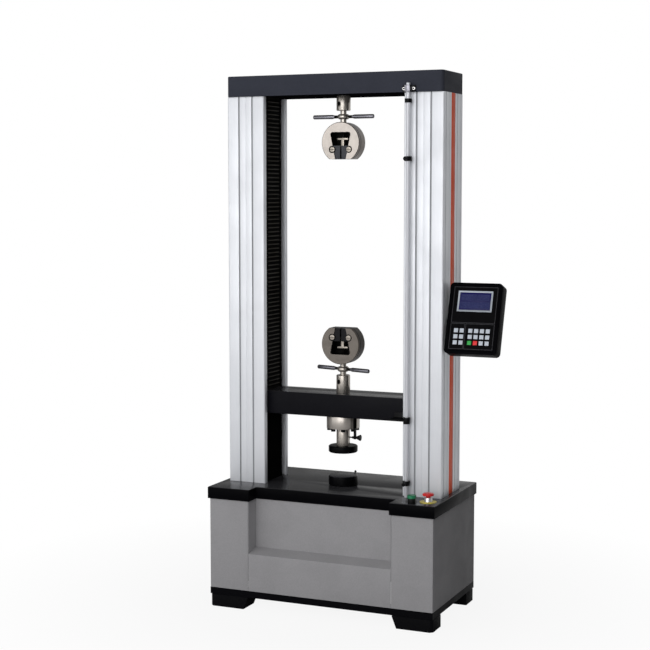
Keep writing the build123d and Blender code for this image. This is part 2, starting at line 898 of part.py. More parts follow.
def trip_fork():
    """The arm on the crosshead that reaches round the column to the limit rod."""
    pad_x = column_in - fork_pad_inset
    z0 = crosshead_bottom + fork_rise
    face = -crosshead_y
    pad = slab(pad_x - fork_pad_width, pad_x, face - fork_plate, face, z0, z0 + fork_pad_height)
    front = limit_y - fork_ring_radius
    plate_low = z0 + fork_ring_height / 2 - fork_plate / 2
    plate_high = plate_low + fork_plate
    back = -column_y - fork_gap
    arm = slab(pad_x - fork_pad_width, pad_x, front, face - fork_plate, plate_low, plate_high)
    arm += slab(pad_x, limit_x, front, back, plate_low, plate_high)
    ring = post(fork_ring_radius, z0, z0 + fork_ring_height, limit_x, limit_y)
    fork = pad + arm + ring
    return fork - post(limit_radius + fork_gap, z0, z0 + fork_ring_height, limit_x, limit_y)


def stop_collar(z):
    """An adjustable collar on the limit rod with its thumb screw."""
    low, high = z - collar_stop_height / 2, z + collar_stop_height / 2
    collar = post(collar_stop_radius, low, high)
    stem_end = collar_stop_radius + thumb_stem_length
    screw = rod_y(thumb_stem_radius, -stem_end, -limit_radius, 0, z)
    screw += rod_y(thumb_radius, -stem_end - thumb_length, -stem_end, 0, z)
    collar += Rot(Z=thumb_angle) * screw
    collar -= post(limit_radius + running_gap, low, high)
    return Pos(limit_x, limit_y) * collar


def limit_switch():
    """The switch under the table, with its arm below the end of the limit rod."""
    d = switch_depth / 2
    x0 = limit_x + limit_radius + switch_arm / 2
    low = cabinet_top - switch_height
    body = slab(x0, x0 + switch_width, limit_y - d, limit_y + d, low, cabinet_top)
    arm_top = limit_bottom - limit_travel - slide_gap
    arm = slab(limit_x - limit_radius, x0, limit_y - d, limit_y + d, low, arm_top)
    return body + arm


def start_button_body():
    """The fixed part of the push button, screwed through the table."""
    low = table_top - button_body_depth
    body = post(button_thread_radius, low, table_top, start_x, start_y)
    body += post(start_base_radius, table_top, table_top + start_base_height, start_x, start_y)
    bore_low = table_top - start_travel - slide_gap
    bore = button_stem_radius + running_gap
    return body - post(bore, bore_low, table_top + start_base_height, start_x, start_y)


def start_button_cap():
    """The round cap of the push button with its plunger."""
    base_top = table_top + start_base_height
    low = base_top - start_cap_skirt
    roof = base_top + start_travel + slide_gap
    cap = post(start_cap_radius, low, roof + start_cap_top, start_x, start_y)
    cap = fillet(rims(cap, -1), start_cap_edge)
    cap -= post(start_base_radius + slide_gap, low, roof, start_x, start_y)
    return cap + post(button_stem_radius, table_top, roof, start_x, start_y)


def estop_body():
    """The fixed part of the emergency stop: ring, collar and threaded body."""
    low = table_top - button_body_depth
    body = post(button_thread_radius, low, table_top, stop_x, stop_y)
    ring_top = table_top + stop_ring_height
    body += post(stop_ring_radius, table_top, ring_top, stop_x, stop_y)
    neck_top = ring_top + stop_neck_height
    body += post(stop_neck_radius, ring_top, neck_top, stop_x, stop_y)
    bore_low = table_top - stop_travel - slide_gap
    return body - post(button_stem_radius + running_gap, bore_low, neck_top, stop_x, stop_y)


def estop_head():
    """The mushroom head of the emergency stop with its stem."""
    low = table_top + stop_ring_height + stop_neck_height + stop_travel + slide_gap
    head = post(stop_head_radius, low, low + stop_head_height, stop_x, stop_y)
    head = fillet(rims(head, -1), stop_head_edge)
    return head + post(button_stem_radius, table_top, low, stop_x, stop_y)


def box_place():
    """Where the control box stands: its pivot, leaning back by its tilt."""
    return Pos(box_pivot_x, box_pivot_y, box_pivot_z) * Rot(X=-box_tilt)


def panel_size():
    """The width and height of the control box's front opening."""
    return box_width - 2 * panel_inset, box_height - 2 * panel_inset


def control_case():
    """The hollow case of the control box with its hinge lug at the back."""
    half_w, half_h = box_width / 2, box_height / 2
    case = slab(-half_w, half_w, box_front, -box_stand_off, -half_h, half_h)
    case = fillet(case.edges().filter_by(Axis.Y), box_corner)
    w, h = panel_size()
    floor = box_front + panel_sink + panel_thickness
    wall = box_wall
    cavity = slab(wall - half_w, half_w - wall, floor, -box_stand_off - wall, wall - half_h, half_h - wall)
    case -= fillet(cavity.edges().filter_by(Axis.Y), box_corner - wall)
    case -= slab(-w / 2, w / 2, box_front, floor, -h / 2, h / 2)
    lug = slab(-lug_half, lug_half, -box_stand_off, 0, -lug_radius, lug_radius)
    lug += rod_x(lug_radius, -lug_half, lug_half)
    lug -= rod_x(hinge_pin_radius + running_gap, -lug_half, lug_half)
    return box_place() * (case + lug)


def control_panel():
    """The front plate with its raised keys and the window for the screen."""
    w, h = panel_size()
    front = box_front + panel_sink
    half_w, half_h = w / 2 - seat_gap, h / 2 - seat_gap
    panel = slab(-half_w, half_w, front, front + panel_thickness, -half_h, half_h)
    rail = box_wall
    back = front + panel_thickness
    panel += slab(-half_w - rail, half_w + rail, back, back + rail, -half_h - rail, half_h + rail)
    left = -(key_pitch_x * (key_columns - 1) + key_block_gap) / 2
    for column in range(key_columns):
        x = left + column * key_pitch_x + (key_block_gap if column > 1 else 0.0)
        for row in range(key_rows):
            z = -h / 2 + key_bottom + row * key_pitch_z
            half = key_size / 2
            panel += slab(x - half, x + half, front - key_height, front, z - half, z + half)
    low, high = screen_levels()
    half = screen_width / 2 + seat_gap
    panel -= slab(-half, half, front, back + rail, low - seat_gap, high + seat_gap)
    return box_place() * panel


def screen_levels():
    """The bottom and top of the screen in the control box's own frame."""
    high = panel_size()[1] / 2 - screen_top + key_bottom / 2
    return high - screen_height, high


def display_screen():
    """The screen block in the panel's window."""
    low, high = screen_levels()
    half = screen_width / 2
    front = box_front + panel_sink
    return box_place() * slab(-half, half, front, front + screen_thickness, low, high)


def control_arm():
    """The swivel arm: a fork with the hinge pin, a bar and the upright swivel pin."""
    inner = lug_half + slide_gap
    outer = inner + ear_thickness
    near, far = arm_back, arm_back + arm_thickness
    arm = slab(-outer, outer, near, far, -arm_half_height, arm_half_height)
    for s in sides.values():
        x0, x1 = sorted((s * inner, s * outer))
        arm += slab(x0, x1, 0, far, -arm_half_height, arm_half_height)
        arm += rod_x(ear_radius, x0, x1)
    arm += rod_x(hinge_pin_radius, -outer, outer)
    swivel = barrel_x - box_pivot_x
    middle = (near + far) / 2
    arm += slab(swivel, -inner, near, far, -arm_half_height, arm_half_height)
    arm += post(barrel_radius, -arm_half_height, arm_half_height, swivel, middle)
    foot = -arm_half_height - slide_gap - barrel_height
    arm += post(swivel_pin_radius, foot, -arm_half_height, swivel, middle)
    return Pos(box_pivot_x, box_pivot_y, box_pivot_z) * arm


def control_bracket():
    """The bracket on the right column's side, with the barrel for the swivel pin and its bolt heads."""
    w, h, t = plate_half_width, plate_half_height, plate_thickness
    z = barrel_mid
    bracket = slab(column_out, column_out + t, -w, w, z - h, z + h)
    half = barrel_radius / 2
    bracket += slab(column_out + t, barrel_x, barrel_y - half, barrel_y + half, barrel_bottom, barrel_top)
    bracket += post(barrel_radius, barrel_bottom, barrel_top, barrel_x, barrel_y)
    for sy, sz in corners:
        y = sy * (w - 2 * plate_bolt_radius)
        head_z = z + sz * (h - 2 * plate_bolt_radius)
        head = rod_x(plate_bolt_radius, column_out + t, column_out + t + plate_bolt_head, y, head_z)
        bracket += head
    return bracket - post(swivel_pin_radius + running_gap, barrel_bottom, barrel_top, barrel_x, barrel_y)


def grip_nodes(name, place, flip, socket_length, angle, bar_turn):
    """The nodes of one grip, built about its disc and set in place. flip is -1 for an inverted grip."""
    return {
        f"{name}_socket": place * socket(socket_length, angle),
        f"{name}_coupling_pin": place * coupling_pin(angle),
        f"{name}_grip_body": place * grip_body(angle),
        f"{name}_grip_handle": place * Rot(Z=bar_turn) * grip_handle(),
        f"{name}_jaw_carrier": place * carrier(),
        f"{name}_left_jaw": place * grip_jaw(-flip),
        f"{name}_right_jaw": place * grip_jaw(flip),
    }


def all_nodes():
    """Every node's name and shape."""
    nodes = {
        "feet": feet(),
        "base_frame": base_frame(),
        "left_side_cover": side_cover(-1),
        "right_side_cover": side_cover(1),
        "front_cover": front_cover(),
        "rear_cover": rear_cover(),
        "table_plate": table_plate(),
        "servo_motor": servo_motor(),
        "motor_pulley": motor_pulley(),
        "timing_belt": timing_belt(),
        "screw_bearings": screw_bearings(),
        "guide_rods": guide_rods(),
        "trim_strips": trim_strips(),
        "upper_bellows": upper_bellows(),
        "lower_bellows": lower_bellows(),
        "top_beam": top_beam(),
        "crosshead": crosshead(),
        "ball_nuts": ball_nuts(),
        "guide_bushes": guide_bushes(),
        "load_cell": load_cell(),
        "load_cell_bolts": load_cell_bolts(),
        "compression_stem": compression_stem(),
        "upper_platen": platen(stem_bottom - upper_platen_height, upper_platen_height),
        "lower_platen": platen(table_top, lower_platen_height),
        "stem_lock_knob": stem_lock_knob(),
        "limit_rod": limit_rod(),
        "rod_bracket": rod_bracket(),
        "trip_fork": trip_fork(),
        "upper_stop_collar": stop_collar(upper_stop_z),
        "lower_stop_collar": stop_collar(lower_stop_z),
        "limit_switch": limit_switch(),
        "start_button_body": start_button_body(),
        "start_button_cap": start_button_cap(),
        "estop_body": estop_body(),
        "estop_head": estop_head(),
        "control_bracket": control_bracket(),
        "control_arm": control_arm(),
        "control_case": control_case(),
        "control_panel": control_panel(),
        "display_screen": display_screen(),
    }
    for name, side in sides.items():
        nodes[f"{name}_ball_screw"] = ball_screw(side)
        nodes[f"{name}_screw_pulley"] = pulley(screw_pulley_radius, lower_journal, side * screw_x, 0.0)
        nodes[f"{name}_column_cover"] = column_cover(side)
    upright = Pos(0, 0, upper_grip_z)
    inverted = Pos(0, 0, lower_grip_z) * Rot(Y=180)
    nodes |= grip_nodes("upper", upright, 1, upper_socket_length, -pin_angle, 0.0)
    nodes |= grip_nodes("lower", inverted, -1, lower_socket_length, pin_angle, -lower_bar_angle)
    return nodes


os.makedirs("parts", exist_ok=True)
for node_name, shape in all_nodes().items():
    export_step(shape, f"parts/{node_name}.step")
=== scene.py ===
"""Looks of a floor-standing universal testing machine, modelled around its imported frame."""
import json
import logging
import math
from dataclasses import dataclass
from enum import Enum
from typing import Any, Callable, Sequence

import bpy
from mathutils import Matrix, Vector

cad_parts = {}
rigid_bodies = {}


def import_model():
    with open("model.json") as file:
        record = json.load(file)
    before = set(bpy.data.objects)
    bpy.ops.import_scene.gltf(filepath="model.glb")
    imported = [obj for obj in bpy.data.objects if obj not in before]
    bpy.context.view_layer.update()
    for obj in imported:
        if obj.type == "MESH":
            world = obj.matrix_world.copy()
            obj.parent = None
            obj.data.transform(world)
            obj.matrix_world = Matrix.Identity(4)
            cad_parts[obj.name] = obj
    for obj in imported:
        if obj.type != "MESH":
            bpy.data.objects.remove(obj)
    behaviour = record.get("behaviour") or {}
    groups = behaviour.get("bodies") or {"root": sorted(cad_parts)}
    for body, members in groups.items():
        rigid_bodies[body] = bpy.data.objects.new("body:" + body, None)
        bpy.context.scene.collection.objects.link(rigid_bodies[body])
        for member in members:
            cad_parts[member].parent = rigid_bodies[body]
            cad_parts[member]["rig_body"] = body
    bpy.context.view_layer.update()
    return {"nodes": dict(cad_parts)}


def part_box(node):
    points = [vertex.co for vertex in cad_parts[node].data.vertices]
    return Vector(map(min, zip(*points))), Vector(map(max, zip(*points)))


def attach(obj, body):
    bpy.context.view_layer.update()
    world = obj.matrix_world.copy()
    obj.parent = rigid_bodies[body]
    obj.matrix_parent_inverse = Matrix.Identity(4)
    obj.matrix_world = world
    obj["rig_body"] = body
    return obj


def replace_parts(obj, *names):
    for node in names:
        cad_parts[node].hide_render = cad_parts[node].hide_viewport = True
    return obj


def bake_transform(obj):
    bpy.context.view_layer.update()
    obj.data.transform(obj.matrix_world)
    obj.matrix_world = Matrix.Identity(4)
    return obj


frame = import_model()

log = logging.getLogger("testing_machine")

Point = tuple[float, float, float]
Colour = tuple[float, float, float]
Piece = bpy.types.Object
FaceTest = Callable[[Vector, Vector], bool]
Span = tuple[float, float]
Box = tuple[float, float, float, float]
Profile = Sequence[Span]
Socket = bpy.types.NodeSocket

SLOTS = {name: node.material_slots[0].material.name for name, node in frame["nodes"].items()}
MIX_FACTOR, MIX_A, MIX_B, MIX_RESULT = 0, 6, 7, 2
MERGE_DISTANCE = 1e-5
FLAT_ANGLE = math.radians(0.8)
SHARP_ANGLE = math.radians(32.0)
EDGE, SLIM_EDGE, FINE_EDGE = 0.0008, 0.0006, 0.0004
SLACK = 0.0001
RIM_STEPS, BALL_STEPS = 4, 12
KEY_SHARE, KEY_FLOOR, KEY_REACH = 0.58, 0.4, 1.2
LEVEL, UPRIGHT = 0.7, 0.5
UNIT = (0.0, 1.0)
WHITE = (1.0, 1.0, 1.0)
SMUDGE_SHADE = (0.3, 0.3, 0.3)
DUST_COLOUR = (0.42, 0.41, 0.39)
DUST_FINENESS = 2.0


class Grain(Enum):
    """The direction that a finish's fine marks run in, as a stretch of the pattern."""

    EVEN = (1.0, 1.0, 1.0)
    UPRIGHT = (1.0, 1.0, 0.02)
    ACROSS = (0.03, 1.0, 1.0)
    TURNED = (0.02, 0.02, 1.0)


class Facing(Enum):
    """Where a turned piece's axis points, as the turn from straight up."""

    UP = (0.0, 0.0, 0.0)
    RIGHT = (0.0, math.pi / 2, 0.0)
    FRONT = (math.pi / 2, 0.0, 0.0)
    BACK = (-math.pi / 2, 0.0, 0.0)


class Pick(Enum):
    """What is picked in edit mode."""

    POINTS = "VERT"
    FACES = "FACE"


class Wiring:
    """Lays shader nodes in one tree and joins their sockets."""

    def __init__(self, tree: bpy.types.NodeTree) -> None:
        """Starts on a material's or group's node tree."""
        self.tree = tree

    def feed(self, node: bpy.types.Node, inputs: dict[Any, Any]) -> bpy.types.Node:
        """Sets a node's inputs.

        Args:
            node: the node.
            inputs: each input's name or index with a plain value, or with the output socket to join it to.

        Returns:
            The same node.
        """
        for key, value in inputs.items():
            if isinstance(value, Socket):
                self.tree.links.new(value, node.inputs[key])
            else:
                node.inputs[key].default_value = value
        return node

    def node(self, kind: str, inputs: dict[Any, Any] | None = None, **settings: Any) -> bpy.types.Node:
        """Adds one node.

        Args:
            kind: the node's type name.
            inputs: its inputs, as feed takes them.
            settings: properties of the node itself.

        Returns:
            The new node.
        """
        node = self.tree.nodes.new(kind)
        for key, value in settings.items():
            setattr(node, key, value)
        return self.feed(node, inputs or {})

    def sum(self, operation: str, *values: Any) -> Socket:
        """The result of a sum on plain numbers or sockets."""
        return self.node("ShaderNodeMath", dict(enumerate(values)), operation=operation).outputs[0]

    def times(self, value: Socket, factor: Any) -> Socket:
        """The value times a factor."""
        return self.sum("MULTIPLY", value, factor)

    def vector_sum(self, operation: str, *values: Any, result: str = "Vector") -> Socket:
        """The named result of a sum on vectors."""
        node = self.node("ShaderNodeVectorMath", dict(enumerate(values)), operation=operation)
        return node.outputs[result]

    def place(self) -> Socket:
        """Where a shaded point lies on its object."""
        return self.node("ShaderNodeTexCoord").outputs["Object"]

    def effect(self, group: bpy.types.NodeTree, inputs: dict[str, Any]) -> Socket:
        """The mask of a shared effect."""
        return self.node("ShaderNodeGroup", inputs, node_tree=group).outputs["Mask"]

    def spread(self, value: Socket, given: Span, to: tuple[Any, Any]) -> Socket:
        """A value spread from one range over another, whose ends are plain or sockets."""
        ends = {"Value": value, "From Min": given[0], "From Max": given[1], "To Min": to[0], "To Max": to[1]}
        return self.node("ShaderNodeMapRange", ends).outputs["Result"]

    def mix(self, share: Socket, a: Any, b: Any, blend: str = "MIX") -> Socket:
        """Two colours, plain or sockets, mixed by the share of the second."""
        sides = {MIX_FACTOR: share, MIX_A: rgba(a), MIX_B: rgba(b)}
        return self.node("ShaderNodeMix", sides, data_type="RGBA", blend_type=blend).outputs[MIX_RESULT]


def rgba(colour: Any) -> Any:
    """A plain colour with its alpha, or a socket as it is."""
    return colour if isinstance(colour, Socket) else (*colour, 1.0)


@dataclass
class Effects:
    """The node groups that the finishes share, each built once. Each takes a scale and gives a mask."""

    grain_span: Span = (0.32, 0.68)
    smudge_span: Span = (0.38, 0.72)
    ring_span: Span = (0.3, 0.7)
    dust_span: Span = (0.35, 0.75)

    def __post_init__(self) -> None:
        """Builds the groups."""
        self.grain = self._grain()
        self.smudge = self._smudge()
        self.rings = self._rings()
        self.settled = self._settled()

    def _group(self, name: str, *vectors: str) -> tuple[Wiring, Any]:
        """Starts a group.

        Args:
            name: the group's name.
            vectors: the names of its vector inputs.

        Returns:
            The group's wiring and the sockets of its inputs.
        """
        group = bpy.data.node_groups.new(name, "ShaderNodeTree")
        for label in vectors:
            group.interface.new_socket(label, in_out="INPUT", socket_type="NodeSocketVector")
        group.interface.new_socket("Scale", in_out="INPUT", socket_type="NodeSocketFloat")
        group.interface.new_socket("Mask", in_out="OUTPUT", socket_type="NodeSocketFloat")
        wiring = Wiring(group)
        return wiring, wiring.node("NodeGroupInput").outputs

    def _noise(self, wiring: Wiring, look: dict[str, Any], **settings: Any) -> Socket:
        """An uneven pattern."""
        return wiring.node("ShaderNodeTexNoise", look, **settings).outputs["Fac"]

    def _mask(self, wiring: Wiring, value: Socket, span: Span) -> bpy.types.NodeTree:
        """Ends a group with a value spread over its mask.

        Args:
            wiring: the group's wiring.
            value: the value's socket.
            span: the values where the mask starts and where it is full.

        Returns:
            The group.
        """
        limits = {"Value": value, "From Min": span[0], "From Max": span[1]}
        mask = wiring.node("ShaderNodeMapRange", limits, interpolation_type="SMOOTHSTEP")
        wiring.node("NodeGroupOutput", {"Mask": mask.outputs["Result"]})
        return wiring.tree

    def _grain(self) -> bpy.types.NodeTree:
        """Fine marks: speckle when even, brushing when stretched.

        Returns:
            The group.
        """
        wiring, given = self._group("fine_grain", "Stretch")
        drawn = wiring.vector_sum("MULTIPLY", wiring.place(), given["Stretch"])
        look = {"Vector": drawn, "Scale": given["Scale"], "Detail": 2.5, "Roughness": 0.6}
        return self._mask(wiring, self._noise(wiring, look), self.grain_span)

    def _smudge(self) -> bpy.types.NodeTree:
        """Broad uneven patches, as hands and wiping leave.

        Returns:
            The group.
        """
        wiring, given = self._group("wiped_patches")
        look = {"Vector": wiring.place(), "Scale": given["Scale"], "Detail": 4.0, "Distortion": 0.5}
        return self._mask(wiring, self._noise(wiring, look), self.smudge_span)

    def _rings(self) -> bpy.types.NodeTree:
        """Turning marks that go round an axis.

        Returns:
            The group.
        """
        wiring, given = self._group("turning_marks", "Centre", "Plane")
        away = wiring.vector_sum("SUBTRACT", wiring.place(), given["Centre"])
        flat = wiring.vector_sum("MULTIPLY", away, given["Plane"])
        radius = wiring.vector_sum("LENGTH", flat, result="Value")
        look = {"W": radius, "Scale": given["Scale"], "Detail": 3.0}
        return self._mask(wiring, self._noise(wiring, look, noise_dimensions="1D"), self.ring_span)

    def _settled(self) -> bpy.types.NodeTree:
        """Dust that lies on what faces up.

        Returns:
            The group.
        """
        wiring, given = self._group("settled_dust")
        coords = wiring.node("ShaderNodeTexCoord").outputs
        patches = self._noise(wiring, {"Vector": coords["Object"], "Scale": given["Scale"], "Detail": 6.0})
        level = wiring.node("ShaderNodeSeparateXYZ", {0: coords["Normal"]}).outputs["Z"]
        return self._mask(wiring, wiring.times(patches, level), self.dust_span)


EFFECTS = Effects()


@dataclass(frozen=True)
class Finish:
    """A painted, moulded or machined surface.

    The grain mixes the second colour into the first and lifts the surface by bump (metres). Smudges
    move the roughness between its two values and darken the colour by their share.
    """

    name: str
    colour: Colour
    second: Colour
    roughness: Span
    metallic: float = 0.0
    coat: float = 0.0
    specular: float = 0.2
    grain: Grain = Grain.EVEN
    grain_size: float = 0.0015
    grain_share: float = 0.5
    bump: float = 0.00003
    smudge_size: float = 0.12
    smudge_share: float = 0.12
    dust_share: float = 0.0

    def material(self) -> bpy.types.Material:
        """The finish as a material, built the first time that it is asked for."""
        return bpy.data.materials.get("finish_" + self.name) or self._build()

    def _marks(self, wiring: Wiring) -> Socket:
        """The mask of the fine marks."""
        look = {"Stretch": self.grain.value, "Scale": 1.0 / self.grain_size}
        return wiring.effect(EFFECTS.grain, look)

    def _build(self) -> bpy.types.Material:
        """Wires the material.

        Returns:
            The new material.
        """
        material = bpy.data.materials.new("finish_" + self.name)
        material.use_nodes = True
        wiring = Wiring(material.node_tree)
        marks = self._marks(wiring)
        wiped = wiring.effect(EFFECTS.smudge, {"Scale": 1.0 / self.smudge_size})
        colour = wiring.mix(wiring.times(marks, self.grain_share), self.colour, self.second)
        colour = wiring.mix(wiring.times(wiped, self.smudge_share), colour, SMUDGE_SHADE, "MULTIPLY")
        if self.dust_share:
            dust = wiring.effect(EFFECTS.settled, {"Scale": DUST_FINENESS / self.smudge_size})
            colour = wiring.mix(wiring.times(dust, self.dust_share), colour, DUST_COLOUR)
        lifted = wiring.node("ShaderNodeBump", {"Height": marks, "Distance": self.bump})
        look = {
            "Base Color": colour,
            "Roughness": wiring.spread(wiped, UNIT, self.roughness),
            "Normal": lifted.outputs["Normal"],
            "Metallic": self.metallic,
            "Coat Weight": self.coat,
            "Specular IOR Level": self.specular,
        }
        wiring.feed(material.node_tree.nodes["Principled BSDF"], look)
        return material


@dataclass(frozen=True)
class SteelFinish(Finish):
    """Machined steel with fine marks and small smudges."""

    metallic: float = 0.75
    grain: Grain = Grain.TURNED
    grain_size: float = 0.0012
    bump: float = 0.00001
    smudge_size: float = 0.05


@dataclass(frozen=True)
class MouldedFinish(Finish):
    """Moulded plastic with a fine even skin."""

    grain_size: float = 0.0008
    smudge_size: float = 0.02


@dataclass(frozen=True)
class LathedFinish(Finish):
    """A machined face whose marks go round an axis."""

    grain_size: float = 0.002
    bump: float = 0.00001
    smudge_size: float = 0.04
    centre: Point = (0.0, 0.0, 0.0)
    plane: Point = (1.0, 1.0, 0.0)

    def _marks(self, wiring: Wiring) -> Socket:
        """The mask of the turning marks."""
        look = {"Centre": self.centre, "Plane": self.plane, "Scale": 1.0 / self.grain_size}
        return wiring.effect(EFFECTS.rings, look)


CAST_BLACK = Finish(
    "foot_black", (0.003, 0.003, 0.004), (0.006, 0.006, 0.006), (0.5, 0.7), specular=0.03,
    grain_size=0.004, bump=0.0002, dust_share=0.015)
PLINTH_BLACK = Finish(
    "plinth_black", (0.0022, 0.0022, 0.003), (0.004, 0.004, 0.005), (0.4, 0.55), specular=0.02,
    dust_share=0.01)
CABINET_GREY = Finish(
    "cabinet_grey", (0.274, 0.27, 0.279), (0.225, 0.222, 0.229), (0.5, 0.62), specular=0.01,
    grain_size=0.003, bump=0.0001, smudge_share=0.08, dust_share=0.05)
# Painted reflection: the black paint of the table and crosshead, painted lighter grey on their tops.
TOP_REFLECTION = Finish(
    "top_painted_reflection", (0.024, 0.024, 0.027), (0.03, 0.03, 0.033), (0.18, 0.27), specular=0.17,
    grain_size=0.0025, bump=0.00001, dust_share=0.03)
TABLE_EDGE = Finish(
    "table_edge_black", (0.0012, 0.0012, 0.0018), (0.0025, 0.0025, 0.003), (0.3, 0.42), specular=0.02)
BEAM_PAINT = Finish(
    "beam_slate_paint", (0.038, 0.041, 0.054), (0.031, 0.033, 0.043), (0.34, 0.46), specular=0.012,
    grain_size=0.003, bump=0.0001, dust_share=0.05)
# Painted shade: the beam's underside painted near-black, darker than its paint.
BEAM_UNDERSIDE_SHADE = Finish(
    "beam_underside_painted_shade", (0.004, 0.004, 0.005), (0.006, 0.006, 0.007), (0.5, 0.6), specular=0.0)
CROSSHEAD_PAINT = Finish(
    "crosshead_black_paint", (0.005, 0.005, 0.0068), (0.007, 0.007, 0.009), (0.28, 0.4), specular=0.04,
    grain_size=0.003, bump=0.00008, dust_share=0.04)
COLUMN_SILVER = Finish(
    "column_satin_aluminium", (0.71, 0.725, 0.761), (0.66, 0.675, 0.711), (0.46, 0.56), metallic=0.34,
    grain=Grain.UPRIGHT, grain_size=0.0012, bump=0.00001, smudge_share=0.04)
# Painted shade: the columns' aluminium painted darker in their grooves and cut lines.
GROOVE_SHADE = Finish(
    "groove_painted_shade", (0.36, 0.37, 0.39), (0.31, 0.32, 0.34), (0.4, 0.5), specular=0.05,
    grain=Grain.UPRIGHT, grain_size=0.0012, bump=0.00001)
STRIP_ORANGE = Finish(
    "trim_orange_plastic", (0.92, 0.11, 0.035), (0.8, 0.085, 0.03), (0.4, 0.55), specular=0.08,
    grain=Grain.UPRIGHT, grain_size=0.002)
BELLOWS_BLACK = Finish(
    "bellows_rubbered_cloth", (0.0012, 0.0012, 0.001), (0.0028, 0.0026, 0.0022), (0.45, 0.6),
    specular=0.004, grain_size=0.0009, bump=0.00006, dust_share=0.008)
# Painted highlight: the black cloth painted lighter on the pleats' crests.
CREST_HIGHLIGHT = Finish(
    "bellows_crest_painted_highlight", (0.042, 0.039, 0.032), (0.028, 0.026, 0.022), (0.45, 0.6), specular=0.03,
    grain_size=0.0009, bump=0.00006, dust_share=0.02)
NICKEL_BRIGHT = SteelFinish(
    "nickel_bright", (0.42, 0.39, 0.355), (0.35, 0.325, 0.295), (0.2, 0.34), metallic=0.85,
    grain=Grain.EVEN)
# Painted shade: the lower grip's nickel, a slightly darker and a little rougher copy of the upper grip's.
DULL_NICKEL_SHADE = SteelFinish(
    "dull_nickel_painted_shade", (0.40, 0.37, 0.335), (0.33, 0.305, 0.275), (0.22, 0.36), metallic=0.85,
    grain=Grain.EVEN)
UPPER_FACE = LathedFinish(
    "upper_grip_face", (0.46, 0.42, 0.385), (0.395, 0.36, 0.33), (0.3, 0.42), metallic=0.6,
    grain_size=0.003, smudge_size=0.03, smudge_share=0.16, centre=(0.0, 0.0, 1.662), plane=(1.0, 0.0, 1.0))
# Painted shade: the lower grip's face, a darker copy of the upper grip's.
LOWER_GRIP_FACE_SHADE = LathedFinish(
    "lower_face_painted_shade", (0.142, 0.126, 0.111), (0.117, 0.104, 0.092), (0.3, 0.42), metallic=0.6,
    grain_size=0.003, smudge_size=0.03, smudge_share=0.2, centre=(0.0, 0.0, 0.947), plane=(1.0, 0.0, 1.0))
# Painted shade: the grips' rims, the sides of their nickel discs, painted darker and browner than the nickel.
UPPER_GRIP_RIM_SHADE = Finish(
    "upper_rim_painted_shade", (0.1, 0.082, 0.071), (0.078, 0.064, 0.055), (0.26, 0.38), metallic=0.85,
    bump=0.00001, smudge_size=0.04)
LOWER_GRIP_RIM_SHADE = Finish(
    "lower_rim_painted_shade", (0.075, 0.063, 0.054), (0.058, 0.048, 0.041), (0.26, 0.38), specular=0.03,
    bump=0.00001, smudge_size=0.04)
# Painted shade: near-black for hollows and what sits in them: the grips' pockets, rim grooves, coupling pins
# and carrier rods, the tommy bars' waists, screw sockets and the load cell's notches.
POCKET_SHADE = Finish(
    "pocket_painted_shade", (0.0025, 0.0023, 0.002), (0.005, 0.0045, 0.004), (0.35, 0.5), specular=0.04,
    smudge_size=0.03)
JAW_BLUED = Finish(
    "jaw_blued_steel", (0.036, 0.037, 0.042), (0.024, 0.025, 0.028), (0.3, 0.45), metallic=0.6,
    grain=Grain.ACROSS, grain_size=0.0016, bump=0.00004, smudge_size=0.03)
# Painted shade: the lower grip's jaws, a darker copy of the upper jaws' steel.
LOWER_JAW_SHADE = Finish(
    "lower_jaw_painted_shade", (0.009, 0.009, 0.01), (0.006, 0.006, 0.0065), (0.25, 0.4), metallic=0.3,
    specular=0.1, grain=Grain.ACROSS, grain_size=0.0016, bump=0.00004, smudge_size=0.03)
BAR_STEEL = SteelFinish(
    "tommy_bar_steel", (0.20, 0.197, 0.22), (0.14, 0.14, 0.16), (0.2, 0.34), metallic=0.9,
    grain=Grain.ACROSS, bump=0.00003, smudge_size=0.03)
BRIGHT_STEEL = SteelFinish(
    "ground_steel", (0.62, 0.61, 0.60), (0.5, 0.49, 0.48), (0.22, 0.34), metallic=0.9)
CARRIER_STEEL = SteelFinish(
    "carrier_steel", (0.29, 0.262, 0.228), (0.23, 0.207, 0.18), (0.24, 0.36), metallic=0.8,
    grain=Grain.ACROSS, smudge_size=0.03)
STEM_STEEL = SteelFinish("stem_steel", (0.48, 0.44, 0.4), (0.41, 0.376, 0.34), (0.26, 0.38))
CELL_STEEL = SteelFinish("load_cell_steel", (0.42, 0.388, 0.357), (0.35, 0.323, 0.297), (0.28, 0.4))
PLATEN_BLACK = LathedFinish(
    "platen_black", (0.002, 0.002, 0.0025), (0.004, 0.004, 0.005), (0.25, 0.38), specular=0.04,
    bump=0.00002)
# Painted reflection: the lower platen's top painted lighter grey than the black platen; its turning marks are
# real.
PLATEN_TOP_REFLECTION = LathedFinish(
    "platen_top_painted_reflection", (0.03, 0.03, 0.034), (0.022, 0.022, 0.025), (0.2, 0.3), specular=0.08)
ROD_STEEL = SteelFinish(
    "limit_rod_steel", (0.66, 0.67, 0.71), (0.6, 0.61, 0.65), (0.34, 0.4), metallic=0.4,
    grain=Grain.UPRIGHT, bump=0.0, smudge_size=0.1, smudge_share=0.03)
BLACK_OXIDE = Finish(
    "black_oxide", (0.003, 0.003, 0.0035), (0.006, 0.006, 0.007), (0.3, 0.45), specular=0.06,
    grain=Grain.TURNED, grain_size=0.0014, smudge_size=0.04)
MOULDED_BLACK = MouldedFinish(
    "moulded_black", (0.004, 0.004, 0.0045), (0.007, 0.007, 0.0075), (0.35, 0.5), specular=0.12,
    bump=0.00004, smudge_size=0.05)
CAP_GREEN = MouldedFinish("cap_green", (0.015, 0.17, 0.075), (0.012, 0.14, 0.06), (0.25, 0.38), coat=0.1)
